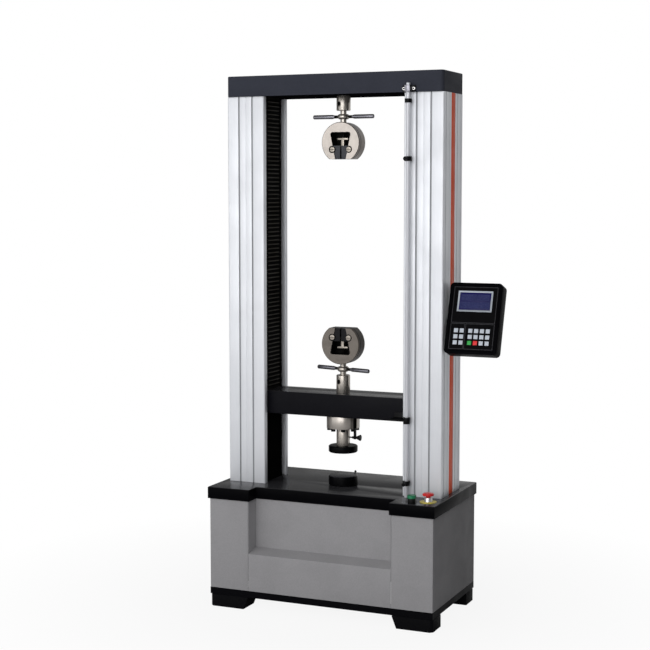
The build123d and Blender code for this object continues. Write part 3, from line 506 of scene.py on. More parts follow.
HEAD_RED = MouldedFinish("head_red", (0.58, 0.022, 0.022), (0.5, 0.018, 0.018), (0.25, 0.38), coat=0.1)
RING_YELLOW = MouldedFinish(
    "ring_yellow", (0.62, 0.52, 0.10), (0.55, 0.45, 0.08), (0.35, 0.5), smudge_size=0.03)
NECK_SILVER = Finish(
    "neck_silver", (0.62, 0.62, 0.64), (0.55, 0.55, 0.57), (0.25, 0.38), metallic=0.7, grain=Grain.TURNED,
    grain_size=0.0008, smudge_size=0.02)
CASE_BLACK = Finish(
    "case_black", (0.0013, 0.0013, 0.0019), (0.0025, 0.0025, 0.0035), (0.34, 0.5), specular=0.008,
    grain_size=0.0009, bump=0.00004, smudge_size=0.06)
PANEL_BLACK = Finish(
    "panel_film_black", (0.0018, 0.0018, 0.0023), (0.003, 0.003, 0.0036), (0.4, 0.5), specular=0.02,
    grain_size=0.0006, bump=0.00002, smudge_size=0.05)
LINE_GREY = Finish(
    "panel_line_grey", (0.05, 0.05, 0.058), (0.04, 0.04, 0.047), (0.45, 0.55), grain_size=0.001)
KEY_PALE = MouldedFinish("key_pale", (0.50, 0.54, 0.60), (0.43, 0.47, 0.53), (0.35, 0.5), smudge_size=0.01)
KEY_GREEN = MouldedFinish(
    "key_green", (0.03, 0.36, 0.07), (0.025, 0.3, 0.055), (0.35, 0.5), smudge_size=0.01)
KEY_RED = MouldedFinish("key_red", (0.75, 0.035, 0.035), (0.65, 0.03, 0.03), (0.35, 0.5), smudge_size=0.01)
SCREEN_RIM = Finish(
    "screen_rim", (0.30, 0.33, 0.37), (0.26, 0.285, 0.32), (0.35, 0.45), metallic=0.3, grain=Grain.ACROSS,
    grain_size=0.001)
SCREEN_BLUE = Finish(
    "screen_blue", (0.010, 0.010, 0.07), (0.014, 0.014, 0.085), (0.15, 0.25), specular=0.1,
    grain=Grain.ACROSS, grain_size=0.006, grain_share=0.8, bump=0.0, smudge_size=0.03)
SCREEN_ROW = Finish(
    "screen_row", (0.015, 0.019, 0.082), (0.028, 0.033, 0.115), (0.15, 0.25), specular=0.05,
    grain_size=0.004, grain_share=0.8, bump=0.0, smudge_size=0.03)
BRONZE = Finish(
    "bush_bronze", (0.50, 0.30, 0.12), (0.42, 0.24, 0.09), (0.3, 0.42), metallic=0.9, grain=Grain.TURNED,
    grain_size=0.0012)
BELT_BLACK = Finish(
    "belt_black", (0.012, 0.012, 0.012), (0.02, 0.02, 0.02), (0.6, 0.75), grain_size=0.003, bump=0.0002)
MOTOR_BLACK = Finish(
    "motor_black", (0.014, 0.014, 0.016), (0.022, 0.022, 0.024), (0.42, 0.55), grain_size=0.002,
    bump=0.0001)


class Bench:
    """Modelling steps, each on one piece at a time."""

    @staticmethod
    def clear() -> None:
        """Goes back to object mode with nothing selected."""
        if bpy.context.mode != "OBJECT":
            bpy.ops.object.mode_set(mode="OBJECT")
        bpy.ops.object.select_all(action="DESELECT")

    @classmethod
    def hold(cls, piece: Piece) -> None:
        """Makes a piece the only one that is selected.

        Args:
            piece: the piece.
        """
        cls.clear()
        piece.select_set(True)
        bpy.context.view_layer.objects.active = piece

    @classmethod
    def edit(cls, piece: Piece) -> None:
        """Opens a piece in edit mode with all of it selected.

        Args:
            piece: the piece.
        """
        cls.hold(piece)
        bpy.ops.object.mode_set(mode="EDIT")
        bpy.ops.mesh.select_all(action="SELECT")

    @classmethod
    def settle(cls, piece: Piece, name: str) -> Piece:
        """Puts a piece's place into its mesh and names it.

        Args:
            piece: the piece.
            name: its new name.

        Returns:
            The same piece.
        """
        cls.hold(piece)
        bpy.ops.object.transform_apply(location=True, rotation=True, scale=True)
        piece.name = name
        piece.data.name = name
        return piece

    @classmethod
    def block(cls, name: str, low: Sequence[float], high: Sequence[float]) -> Piece:
        """A block between two corners, as a start.

        Args:
            name: the piece's name.
            low: its lowest corner.
            high: its highest corner.

        Returns:
            The new piece.
        """
        cls.clear()
        low, high = Vector(low), Vector(high)
        bpy.ops.mesh.primitive_cube_add(size=1.0, location=(low + high) / 2)
        piece = bpy.context.active_object
        piece.scale = high - low
        return cls.settle(piece, name)

    @classmethod
    def turned(cls, name: str, profile: Profile, place: Point = (0.0, 0.0, 0.0),
               facing: Facing = Facing.UP, steps: int = 48, tube: bool = False) -> Piece:
        """A piece turned on a lathe, made ring by ring from a circle.

        Args:
            name: the piece's name.
            profile: the outline's points as (radius, height) along the axis.
            place: where the axis starts.
            facing: where the axis points.
            steps: corners round the circle.
            tube: whether the last ring joins the first, with no end faces.

        Returns:
            The new piece.
        """
        cls.clear()
        radius, level = profile[0]
        bpy.ops.mesh.primitive_circle_add(vertices=steps, radius=radius, location=(0.0, 0.0, level))
        piece = cls.settle(bpy.context.active_object, name)
        cls.edit(piece)
        for next_radius, next_level in profile[1:]:
            rise = (0.0, 0.0, next_level - level)
            bpy.ops.mesh.extrude_edges_move(TRANSFORM_OT_translate={"value": rise})
            share = next_radius / radius
            middle = (0.0, 0.0, next_level)
            bpy.ops.transform.resize(value=(share, share, 1.0), center_override=middle)
            radius, level = next_radius, next_level
        if tube:
            bpy.ops.mesh.select_mode(type="EDGE")
            bpy.ops.mesh.select_all(action="DESELECT")
            bpy.ops.mesh.select_non_manifold()
            bpy.ops.mesh.bridge_edge_loops()
        else:
            bpy.ops.mesh.select_all(action="SELECT")
            bpy.ops.mesh.fill_holes(sides=0)
        bpy.ops.mesh.select_all(action="SELECT")
        bpy.ops.mesh.normals_make_consistent(inside=False)
        cls.clear()
        piece.rotation_euler = facing.value
        piece.location = place
        return cls.settle(piece, name)

    @classmethod
    def modify(cls, piece: Piece, kind: str, **settings: Any) -> Piece:
        """Adds a modifier and applies it.

        Args:
            piece: the piece.
            kind: the modifier's type.
            settings: its properties.

        Returns:
            The same piece.
        """
        cls.hold(piece)
        modifier = piece.modifiers.new(kind.title(), kind)
        for key, value in settings.items():
            setattr(modifier, key, value)
        bpy.ops.object.modifier_apply(modifier=modifier.name)
        return piece

    @classmethod
    def ease(cls, piece: Piece, width: float, steps: int = 2) -> Piece:
        """Rounds a piece's sharp edges and shades it smooth between them.

        Args:
            piece: the piece.
            width: the width of the rounding.
            steps: its facets.

        Returns:
            The same piece.
        """
        if width > 0.0:
            cls.modify(piece, "BEVEL", width=width, segments=steps, limit_method="ANGLE",
                       angle_limit=SHARP_ANGLE, miter_outer="MITER_ARC")
        return cls.smooth(piece)

    @classmethod
    def smooth(cls, piece: Piece, angle: float = 35.0) -> Piece:
        """Shades a piece smooth between its sharp edges.

        Args:
            piece: the piece.
            angle: the turn, in degrees, from which an edge stays crisp.

        Returns:
            The same piece.
        """
        cls.hold(piece)
        bpy.ops.object.shade_smooth_by_angle(angle=math.radians(angle))
        return piece

    @classmethod
    def cut(cls, piece: Piece, tool: Piece, operation: str = "DIFFERENCE") -> Piece:
        """Cuts a piece with a tool, or adds the tool to it, and clears the tool away.

        Args:
            piece: the piece.
            tool: the cutting shape.
            operation: the boolean's kind.

        Returns:
            The same piece.
        """
        cls.modify(piece, "BOOLEAN", object=tool, operation=operation, solver="EXACT")
        bpy.data.objects.remove(tool)
        return piece

    @classmethod
    def copy(cls, piece: Piece, name: str, matrix: Matrix) -> Piece:
        """A copy of a piece with its own mesh, moved by a matrix.

        Args:
            piece: the piece to copy.
            name: the copy's name.
            matrix: where the copy goes, from the piece's own place.

        Returns:
            The copy.
        """
        twin = bpy.data.objects.new(name, piece.data.copy())
        bpy.context.scene.collection.objects.link(twin)
        twin.matrix_world = matrix
        return cls.settle(twin, name)

    @classmethod
    def join(cls, name: str, pieces: Sequence[Piece]) -> Piece:
        """Joins pieces of one kind into one object.

        Args:
            name: the joined object's name.
            pieces: what is joined.

        Returns:
            The joined piece.
        """
        cls.hold(pieces[0])
        for piece in pieces[1:]:
            piece.select_set(True)
        bpy.ops.object.join()
        pieces[0].name = name
        pieces[0].data.name = name
        return pieces[0]

    @classmethod
    def repeat(cls, name: str, model: Piece, moves: Sequence[Matrix]) -> Piece:
        """Copies a model to several places as one piece and clears the model away.

        Args:
            name: the piece's name.
            model: what is repeated.
            moves: where the copies go, from the model's own place.

        Returns:
            The joined copies.
        """
        copies = [cls.copy(model, f"{name}_{number}", move) for number, move in enumerate(moves)]
        bpy.data.objects.remove(model)
        return cls.join(name, copies)

    @classmethod
    def from_node(cls, node: str, name: str, whole: bool = True) -> Piece:
        """A copy of a CAD node with its loose triangles merged.

        Args:
            node: the CAD node.
            name: the copy's name.
            whole: whether the triangles of a flat face become one face.

        Returns:
            The copy.
        """
        twin = bpy.data.objects.new(name, frame["nodes"][node].data.copy())
        bpy.context.scene.collection.objects.link(twin)
        twin.data.materials.clear()
        twin.data.name = name
        cls.hold(twin)
        bpy.ops.mesh.customdata_custom_splitnormals_clear()
        cls.edit(twin)
        bpy.ops.mesh.remove_doubles(threshold=MERGE_DISTANCE)
        if whole:
            bpy.ops.mesh.dissolve_limited(angle_limit=FLAT_ANGLE)
        cls.clear()
        return twin

    @classmethod
    def pick(cls, piece: Piece, kind: Pick, test: Callable[[Any], bool]) -> None:
        """Opens a piece in edit mode with only those points or faces selected that pass a test.

        Args:
            piece: the piece.
            kind: whether points or faces are picked.
            test: the test of a point or face.
        """
        cls.edit(piece)
        bpy.ops.mesh.select_mode(type=kind.value)
        bpy.ops.mesh.select_all(action="DESELECT")
        bpy.ops.object.mode_set(mode="OBJECT")
        for item in piece.data.vertices if kind is Pick.POINTS else piece.data.polygons:
            item.select = test(item)
        bpy.ops.object.mode_set(mode="EDIT")

    @classmethod
    def place(cls, piece: Piece, matrix: Matrix) -> Piece:
        """Moves a piece by a matrix and puts the move into its mesh."""
        piece.matrix_world = matrix
        return cls.settle(piece, piece.name)

    @classmethod
    def recalculate(cls, piece: Piece) -> Piece:
        """Merges a piece's doubles and turns its faces outwards.

        Args:
            piece: the piece.

        Returns:
            The same piece.
        """
        cls.edit(piece)
        bpy.ops.mesh.remove_doubles(threshold=MERGE_DISTANCE)
        bpy.ops.mesh.normals_make_consistent(inside=False)
        cls.clear()
        return piece


@dataclass(frozen=True)
class Patch:
    """A finish for the faces that pass a test of centre and normal."""

    finish: Finish
    test: FaceTest


class Assembly:
    """A sub-assembly of the machine."""

    def build(self) -> None:
        """Models and dresses the sub-assembly's pieces."""
        raise NotImplementedError

    def paint(self, piece: Piece, finish: Finish, patches: Sequence[Patch] = ()) -> Piece:
        """Gives a piece its finish.

        Args:
            piece: the piece.
            finish: the finish of most of it.
            patches: faces with another finish.

        Returns:
            The same piece.
        """
        piece.data.materials.clear()
        piece.data.materials.append(finish.material())
        for index, patch in enumerate(patches, start=1):
            piece.data.materials.append(patch.finish.material())
            for face in piece.data.polygons:
                if patch.test(face.center, face.normal):
                    face.material_index = index
        return piece

    def seat(self, piece: Piece, body: str, slot: str) -> Piece:
        """Fixes a piece to a body.

        Args:
            piece: the piece.
            body: the CAD body that it moves with.
            slot: the record's material slot; not used.

        Returns:
            The same piece.
        """
        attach(piece, body)
        log.info("%s rides on %s", piece.name, body)
        return piece

    def stand_for(self, piece: Piece, node: str, finish: Finish | None = None,
                  patches: Sequence[Patch] = ()) -> Piece:
        """Puts a piece in the place of a CAD node, on the node's own body.

        Args:
            piece: the piece.
            node: the CAD node.
            finish: the finish of most of it, if it isn't painted yet.
            patches: faces with another finish.

        Returns:
            The same piece.
        """
        if finish:
            self.paint(piece, finish, patches)
        self.seat(piece, body_of(node), SLOTS[node])
        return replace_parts(piece, node)

    def eased(self, node: str, finish: Finish, width: float = EDGE, patches: Sequence[Patch] = (),
              steps: int = 2, whole: bool = True) -> Piece:
        """Puts a CAD node's own shape, with its edges eased by the width, in the node's place."""
        piece = Bench.ease(Bench.from_node(node, node + "_eased", whole), width, steps)
        return self.stand_for(piece, node, finish, patches)

    def dress(self, node: str, finish: Finish) -> None:
        """Puts a finish on a CAD node whose shape stays as it is.

        Args:
            node: the CAD node.
            finish: its finish.
        """
        for slot in frame["nodes"][node].material_slots:
            slot.material = finish.material()
        log.info("%s is dressed", node)


def body_of(node: str) -> str:
    """The body that a CAD node belongs to."""
    return frame["nodes"][node]["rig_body"]


def rounded(radius: float, height: float, edge: float, start: float = 0.0) -> list[Span]:
    """The profile of a plain head with a rounded rim.

    Args:
        radius: the head's radius.
        height: its height over the start.
        edge: the rim's rounding.
        start: the level that it starts at.

    Returns:
        The profile's points as (radius, height).
    """
    low, high = radius - edge, start + height - edge
    turns = [math.pi / 2 * step / RIM_STEPS for step in range(RIM_STEPS + 1)]
    rim = [(low + edge * math.cos(turn), high + edge * math.sin(turn)) for turn in turns]
    return [(radius, start)] + rim


def socket_screw(name: str, radius: float, height: float, place: Point, facing: Facing) -> Piece:
    """The head of a cap screw with its hexagon socket.

    Args:
        name: the piece's name.
        radius: the head's radius.
        height: the head's height.
        place: the middle of its seat.
        facing: where the head points.

    Returns:
        The new piece.
    """
    head = Bench.turned(name, rounded(radius, height, radius / 6), place, facing, steps=32)
    wide = radius * KEY_SHARE
    key = [(wide, height * KEY_FLOOR), (wide, height * KEY_REACH)]
    return Bench.smooth(Bench.cut(head, Bench.turned("key_tool", key, place, facing, steps=6)))


def facing_up(level: float, slack: float = 0.002) -> FaceTest:
    """A test for upward faces near a level."""
    return lambda centre, normal: normal.z > LEVEL and abs(centre.z - level) < slack


@dataclass
class Cabinet(Assembly):
    """Feet, plinth and the sheet covers round the base, with the mains inlet at the back."""

    sheet_edge: float = 0.0007
    foot_edge: float = 0.002
    inlet_middle: Span = (0.3, 0.125)
    inlet_size: Span = (0.05, 0.028)
    inlet_flange: float = 0.006
    inlet_depth: float = 0.02
    flange_thickness: float = 0.0025
    pin_size: Point = (0.002, 0.012, 0.004)
    pin_places: Sequence[Span] = ((-0.008, -0.003), (0.0, 0.003), (0.008, -0.003))
    screw_radius: float = 0.0045
    screw_height: float = 0.0025
    screw_inset: float = 0.012
    screw_columns: int = 4

    def build(self) -> None:
        """Dresses the base."""
        self.eased("feet", CAST_BLACK, self.foot_edge)
        self.eased("base_frame", PLINTH_BLACK, 0.0, whole=False)
        for node in ("left_side_cover", "right_side_cover", "front_cover"):
            self.eased(node, CABINET_GREY, self.sheet_edge)
        self._rear_cover()
        self._inlet()
        self._rear_screws()

    def _window(self, name: str, grow: float, front: float, back: float) -> Piece:
        """A block the size of the inlet.

        Args:
            name: the block's name.
            grow: how far it reaches past the inlet all round.
            front: where it starts, along the depth.
            back: where it ends.

        Returns:
            The block.
        """
        (x, z), (width, height) = self.inlet_middle, self.inlet_size
        half_x, half_z = width / 2 + grow, height / 2 + grow
        return Bench.block(name, (x - half_x, front, z - half_z), (x + half_x, back, z + half_z))

    def _rear_cover(self) -> None:
        """The back sheet, with a window for the inlet."""
        low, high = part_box("rear_cover")
        sheet = high.y - low.y
        cover = Bench.from_node("rear_cover", "rear_cover_eased", whole=False)
        Bench.cut(cover, self._window("inlet_window", 0.0, low.y - sheet, high.y + sheet))
        self.stand_for(Bench.ease(cover, self.sheet_edge), "rear_cover", CABINET_GREY)

    def _inlet(self) -> None:
        """The mains inlet: a flanged socket with three flat pins."""
        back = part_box("rear_cover")[1].y
        face = back + self.flange_thickness
        inlet = self._window("mains_inlet", self.inlet_flange, back, face)
        Bench.cut(inlet, self._window("inlet_body", 0.0, back - self.inlet_depth, face), "UNION")
        wall = -self.inlet_flange / 2
        hollow = back - self.inlet_depth - wall
        Bench.cut(inlet, self._window("inlet_hollow", wall, hollow, face + self.inlet_depth))
        self.paint(Bench.ease(inlet, EDGE), MOULDED_BLACK)
        pins = []
        half = Vector(self.pin_size) / 2
        for number, (x, z) in enumerate(self.pin_places):
            middle = Vector((self.inlet_middle[0] + x, hollow + half.y, self.inlet_middle[1] + z))
            pin = Bench.block(f"inlet_pin_{number}", middle - half, middle + half)
            pins.append(self.paint(Bench.ease(pin, FINE_EDGE), BRIGHT_STEEL))
        self.seat(Bench.join("mains_inlet", [inlet, *pins]), "frame", SLOTS["limit_switch"])

    def _rear_screws(self) -> None:
        """The screws along the back sheet's edges."""
        low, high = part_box("rear_cover")
        first = low.x + self.screw_inset
        step = (high.x - low.x - 2 * self.screw_inset) / (self.screw_columns - 1)
        levels = (low.z + self.screw_inset, high.z - self.screw_inset)
        moves = [Matrix.Translation((first + step * column, 0.0, level))
                 for column in range(self.screw_columns) for level in levels]
        seat = (0.0, high.y, 0.0)
        model = socket_screw("cover_screw", self.screw_radius, self.screw_height, seat, Facing.BACK)
        screws = Bench.repeat("rear_cover_screws", self.paint(model, BLACK_OXIDE), moves)
        self.seat(screws, "frame", SLOTS["load_cell_bolts"])


@dataclass
class Table(Assembly):
    """The thick plate on the base."""

    edge: float = 0.001

    def build(self) -> None:
        """Dresses the plate: black edges, and a top painted lighter grey as a painted reflection."""
        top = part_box("table_plate")[1].z
        self.eased("table_plate", TABLE_EDGE, self.edge, [Patch(TOP_REFLECTION, facing_up(top))])


@dataclass
class Columns(Assembly):
    """The two extruded columns with their trim strips."""

    edge: float = 0.0015
    middle: float = 0.337
    groove_offset: float = 0.026
    groove_reach: float = 0.0045
    groove_levels: Span = (0.095, 0.0994)
    side_lines: Sequence[float] = (0.042, 0.078)
    line_half: float = 0.0018
    line_depth: float = 0.0015
    line_skin: float = 0.0003

    def build(self) -> None:
        """Cuts fine lines in the columns' outer sides and dresses the columns and their strips."""
        for node in ("left_column_cover", "right_column_cover"):
            self._cover(node)
        self.eased("trim_strips", STRIP_ORANGE, FINE_EDGE)

    def _cover(self, node: str) -> None:
        """A column's cover with fine lines cut in its outer side; those lines and the grooves in its front
        and back are painted darker, as painted shade.

        Args:
            node: the cover's CAD node.
        """
        low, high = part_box(node)
        face = max(abs(low.x), abs(high.x))
        near, far = face - self.line_depth, face + self.line_depth
        left, right = (near, far) if high.x > 0.0 else (-far, -near)
        cover = Bench.ease(Bench.from_node(node, node + "_eased"), self.edge)
        first, last = self.side_lines
        for y in (-last, -first, first, last):
            foot = (left, y - self.line_half, low.z - self.edge)
            head = (right, y + self.line_half, high.z + self.edge)
            Bench.cut(cover, Bench.block("line_tool", foot, head))
        # The cut lines and the front and back grooves are painted darker: painted shade.
        lines = Patch(GROOVE_SHADE, lambda centre, normal: self._in_line(face, centre, normal))
        patches = [Patch(GROOVE_SHADE, self._in_groove), lines]
        self.stand_for(Bench.smooth(cover), node, COLUMN_SILVER, patches)

    def _in_groove(self, centre: Vector, normal: Vector) -> bool:
        """Whether a face lies in one of the grooves in a column's front or back.

        Args:
            centre: the face's middle.
            normal: its direction.

        Returns:
            True in a groove.
        """
        across = abs(abs(abs(centre.x) - self.middle) - self.groove_offset)
        deep, shallow = self.groove_levels
        return across < self.groove_reach and deep < abs(centre.y) < shallow and abs(normal.z) < UPRIGHT

    def _in_line(self, outside: float, centre: Vector, normal: Vector) -> bool:
        """Whether a face lies in one of the fine lines in a column's outer side.

        Args:
            outside: how far the side lies from the machine's middle.
            centre: the face's middle.
            normal: its direction.

        Returns:
            True in a line.
        """
        first, last = self.side_lines
        sunk = outside - 2 * self.line_depth < abs(centre.x) < outside - self.line_skin
        return sunk and first - self.edge < abs(centre.y) < last + self.edge and abs(normal.z) < UPRIGHT


@dataclass
class Bellows(Assembly):
    """The pleated sheets in the columns' mouths."""

    upper_pitch: float = 0.015
    lower_pitch: float = 0.0062
    crest_inset: float = 0.011
    depth: float = 0.008
    cloth: float = 0.0009
    crease: float = 0.0024
    dark_spans: int = 2
    spans: int = 10
    crease_angle: float = 30.0
    crisp_angle: float = 50.0

    def build(self) -> None:
        """Folds the two pairs into pleats and puts each in the place of its CAD node."""
        # The upper pair's crests carry a painted highlight; the lower pair's crests stay plain black.
        upper = self._folds("upper_bellows_folds", "upper_bellows", self.upper_pitch, CREST_HIGHLIGHT)
        lower = self._folds("lower_bellows_folds", "lower_bellows", self.lower_pitch, BELLOWS_BLACK)
        for piece, node, fixed_end in ((upper, "upper_bellows", 1), (lower, "lower_bellows", 0)):
            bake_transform(piece)
            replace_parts(piece, node)
            log.info("%s folds between frame and crosshead", piece.name)

    def _folds(self, name: str, node: str, pitch: float, crest_highlight: Finish) -> Piece:
        """One pair of pleated sheets, from a single fold that is repeated and mirrored.

        Args:
            name: the piece's name.
            node: the CAD node that gives the space.
            pitch: the height of a fold.
            crest_highlight: the finish of the crests, a painted highlight on the upper pair and plain black
                on the lower.

        Returns:
            The new piece.
        """
        low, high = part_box(node)
        count = round((high.z - low.z) / pitch)
        rise = (high.z - low.z) / count / 2
        crest = high.x - self.crest_inset
        width = high.y - low.y
        Bench.clear()
        bpy.ops.mesh.primitive_plane_add(size=width, location=(crest + width / 2, 0.0, low.z))
        piece = Bench.settle(bpy.context.active_object, name)
        Bench.pick(piece, Pick.POINTS, lambda point: point.co.x > crest + width / 2)
        bpy.ops.mesh.delete(type="VERT")
        bpy.ops.mesh.select_all(action="SELECT")
        bpy.ops.mesh.subdivide(number_cuts=self.spans - 1)
        bpy.ops.mesh.select_all(action="SELECT")
        bpy.ops.mesh.extrude_edges_move(TRANSFORM_OT_translate={"value": (self.depth, 0.0, rise)})
        bpy.ops.mesh.extrude_edges_move(TRANSFORM_OT_translate={"value": (-self.depth, 0.0, rise)})
        Bench.modify(piece, "ARRAY", count=count, use_relative_offset=False, use_constant_offset=True,
                     constant_offset_displace=(0.0, 0.0, 2 * rise), use_merge_vertices=True,
                     merge_threshold=MERGE_DISTANCE * 10)
        Bench.pick(piece, Pick.POINTS, lambda point: abs(point.co.y) > width / 2 - MERGE_DISTANCE)
        flat = (crest + self.depth, 0.0, 0.0)
        bpy.ops.transform.resize(value=(0.0, 1.0, 1.0), center_override=flat)
        Bench.modify(piece, "BEVEL", width=self.crease, segments=2, limit_method="ANGLE",
                     angle_limit=math.radians(self.crease_angle))
        Bench.modify(piece, "SOLIDIFY", thickness=self.cloth, offset=0.0)
        Bench.modify(piece, "MIRROR", use_axis=(True, False, False))
        Bench.recalculate(piece)
        # The crests' painted highlight stops short of the outer spans at each side.
        lit = width / 2 - self.dark_spans * width / self.spans
        front = crest + self.crease / 2
        crests = Patch(crest_highlight, lambda centre, normal: abs(centre.x) < front and abs(centre.y) < lit)
        return self.paint(Bench.smooth(piece, self.crisp_angle), BELLOWS_BLACK, [crests])


@dataclass
class Beams(Assembly):
    """The fixed beam at the top and the moving crosshead."""

    edge: float = 0.0012
    screw_radius: float = 0.009
    screw_height: float = 0.008
    bore_radius: float = 0.0105
    bore_depth: float = 0.01
    screw_places: Sequence[Span] = ((0.285, 0.08), (0.39, 0.08), (0.285, -0.08), (0.39, -0.08))

    def build(self) -> None:
        """Dresses both beams, with sunk screws in the fixed one."""
        self._fixed_beam()
        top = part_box("crosshead")[1].z
        # The crosshead's top is painted lighter grey: a painted reflection.
        self.eased("crosshead", CROSSHEAD_PAINT, self.edge, [Patch(TOP_REFLECTION, facing_up(top))])

    def _fixed_beam(self) -> None:
        """The top beam with a counterbore and a cap screw over each corner of the columns."""
        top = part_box("top_beam")[1].z
        seat = top - self.bore_depth
        beam = Bench.ease(Bench.from_node("top_beam", "top_beam_bored"), self.edge)
        bore = [(self.bore_radius, seat), (self.bore_radius, top + self.bore_depth)]
        moves = [Matrix.Translation((side * x, y, 0.0)) for side in (-1, 1) for x, y in self.screw_places]
        for move in moves:
            Bench.cut(beam, Bench.turned("bore_tool", bore, move.translation, steps=32))
        # The underside is painted near-black: painted shade.
        underside = Patch(BEAM_UNDERSIDE_SHADE, lambda centre, normal: normal.z < -LEVEL)
        self.stand_for(Bench.smooth(beam), "top_beam", BEAM_PAINT, [underside])
        place = (0.0, 0.0, seat)
        model = socket_screw("beam_screw", self.screw_radius, self.screw_height, place, Facing.UP)
        screws = Bench.repeat("beam_screws", self.paint(model, BLACK_OXIDE), moves)
        self.seat(screws, "frame", SLOTS["load_cell_bolts"])


@dataclass
class WedgeGrip(Assembly):
    """A round wedge grip with its coupling, handle, carrier and jaws.

    The shank points up on the upper grip and down on the lower one.
    """

    prefix: str
    centre: float
    up: int
    nickel: Finish
    face: Finish
    rim: Finish
    jaw: Finish
    disc_radius: float = 0.072
    disc_half: float = 0.029
    groove_start: float = -0.015
    groove_width: float = 0.003
    groove_depth: float = 0.002
    groove_skin: float = 0.0002
    rim_depth: float = 0.004
    rim_turn: float = 0.9
    shank_slack: float = 0.001
    screw_radius: float = 0.0098
    screw_height: float = 0.0045
    screw_edge: float = 0.0014
    screw_seat: float = -0.0255
    screw_x: float = 0.0315
    screw_drop: float = 0.024
    screw_slot: float = 0.0018
    slot_depth: float = 0.0015
    neck_clear: float = 0.0112
    collar_radius: float = 0.0215
    collar_end: float = 0.0165
    collar_crisp: float = 40.0
    bar_radius: float = 0.0075
    bar_waist: float = 0.0054
    bar_sunk: float = 0.003
    bar_edge: float = 0.004
    waist_end: float = 0.034
    waist_taper: float = 0.008
    waist_slack: float = 0.001
    bar_end: float = 0.116
    bar_tip_share: float = 0.98
    tooth_pitch: float = 0.0025
    tooth_depth: float = 0.0006
    jaw_half_gap: float = 0.0025
    carrier_top: float = 0.0165

    def build(self) -> None:
        """Models the grip's body, screws, handle and jaws, and dresses the rest."""
        self._body()
        self._screws()
        self._handle()
        self.eased(f"{self.prefix}_socket", self.nickel)
        # The coupling pin, and the carrier's rod where it reaches into the pocket, carry the pocket's painted
        # shade.
        self.eased(f"{self.prefix}_coupling_pin", POCKET_SHADE, SLIM_EDGE)
        rod = Patch(POCKET_SHADE, lambda centre, normal: self._towards_shank(centre) > self.carrier_top)
        self.eased(f"{self.prefix}_jaw_carrier", CARRIER_STEEL, patches=[rod])
        for side in ("left", "right"):
            self._jaw(f"{self.prefix}_{side}_jaw")

    def _away(self, place: Vector) -> float:
        """A place's distance from the disc's axis."""
        return math.hypot(place.x, place.z - self.centre)

    def _towards_shank(self, place: Vector) -> float:
        """How far a place lies from the disc's middle towards the shank."""
        return (place.z - self.centre) * self.up

    def _body(self) -> None:
        """The disc with a groove round its rim and lathed faces; the rim, the groove and the pocket are
        painted darker, as painted shade.
        """
        node = f"{self.prefix}_grip_body"
        body = Bench.from_node(node, node + "_grooved", whole=False)
        start, end = self.groove_start, self.groove_start + self.groove_width
        floor, outside = self.disc_radius - self.groove_depth, self.disc_radius + self.groove_depth
        ring = [(floor, start), (outside, start), (outside, end), (floor, end)]
        tool = Bench.turned("groove_tool", ring, (0.0, 0.0, self.centre), Facing.BACK, steps=96, tube=True)
        Bench.smooth(Bench.cut(body, tool))
        inside, skin = self.disc_radius - self.rim_depth, self.groove_skin
        shank = self.disc_radius - self.shank_slack
        # The rim and the groove round it, and the pocket, are painted darker as painted shade.
        patches = [
            Patch(self.rim, lambda centre, normal: self._away(centre) > inside
                  and abs(normal.y) < self.rim_turn),
            Patch(POCKET_SHADE, lambda centre, normal: self._away(centre) < inside
                  and abs(centre.y) < self.disc_half - SLACK),
            Patch(self.face, lambda centre, normal: abs(centre.y) > self.disc_half - SLACK),
            Patch(POCKET_SHADE, lambda centre, normal: start - skin < centre.y < end + skin
                  and self.disc_radius - SLACK > self._away(centre) > inside),
            Patch(self.nickel, lambda centre, normal: self._towards_shank(centre) > shank),
        ]
        self.stand_for(body, node, self.nickel, patches)

    def _screws(self) -> None:
        """The two slotted screws that keep the jaws in."""
        level = self.centre - self.up * self.screw_drop
        outline = rounded(self.screw_radius, self.screw_height, self.screw_edge)
        model = Bench.turned("keeper", outline, (0.0, self.screw_seat, level), Facing.FRONT)
        half = self.screw_slot / 2
        low = (-self.screw_radius, self.screw_seat - 2 * self.screw_height, level - half)
        floor = self.screw_seat - self.screw_height + self.slot_depth
        tool = Bench.block("slot_tool", low, (self.screw_radius, floor, level + half))
        self.paint(Bench.smooth(Bench.cut(model, tool)), CARRIER_STEEL)
        moves = [Matrix.Translation((side * self.screw_x, 0.0, 0.0)) for side in (-1, 1)]
        screws = Bench.repeat(f"{self.prefix}_keeper_screws", model, moves)
        node = f"{self.prefix}_grip_body"
        self.seat(screws, body_of(node), SLOTS[node])

    def _handle(self) -> None:
        """The barrel collar with its two tommy bars, at the turn that the CAD bar stands at."""
        node = f"{self.prefix}_grip_handle"
        low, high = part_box(node)
        height = high.z - low.z
        wide, narrow = self.collar_radius, self.collar_end
        part_way = wide - (wide - narrow) / 4
        barrel = [(self.neck_clear, 0.0), (narrow, 0.0), (part_way, height * 0.2), (wide, height * 0.4),
                  (wide, height * 0.6), (part_way, height * 0.8), (narrow, height), (self.neck_clear, height)]
        collar = Bench.turned("collar", barrel, (0.0, 0.0, low.z), Facing.UP, steps=64, tube=True)
        self.paint(Bench.smooth(collar, self.collar_crisp), self.nickel)
        taper_end = self.waist_end + self.waist_taper
        outline = [(self.bar_waist, wide - self.bar_sunk), (self.bar_waist, self.waist_end)]
        outline += rounded(self.bar_radius, self.bar_end - taper_end, self.bar_edge, taper_end)
        middle = (0.0, 0.0, (low.z + high.z) / 2)
        bar = Bench.smooth(Bench.turned("tommy_bar", outline, middle, Facing.RIGHT, steps=32))
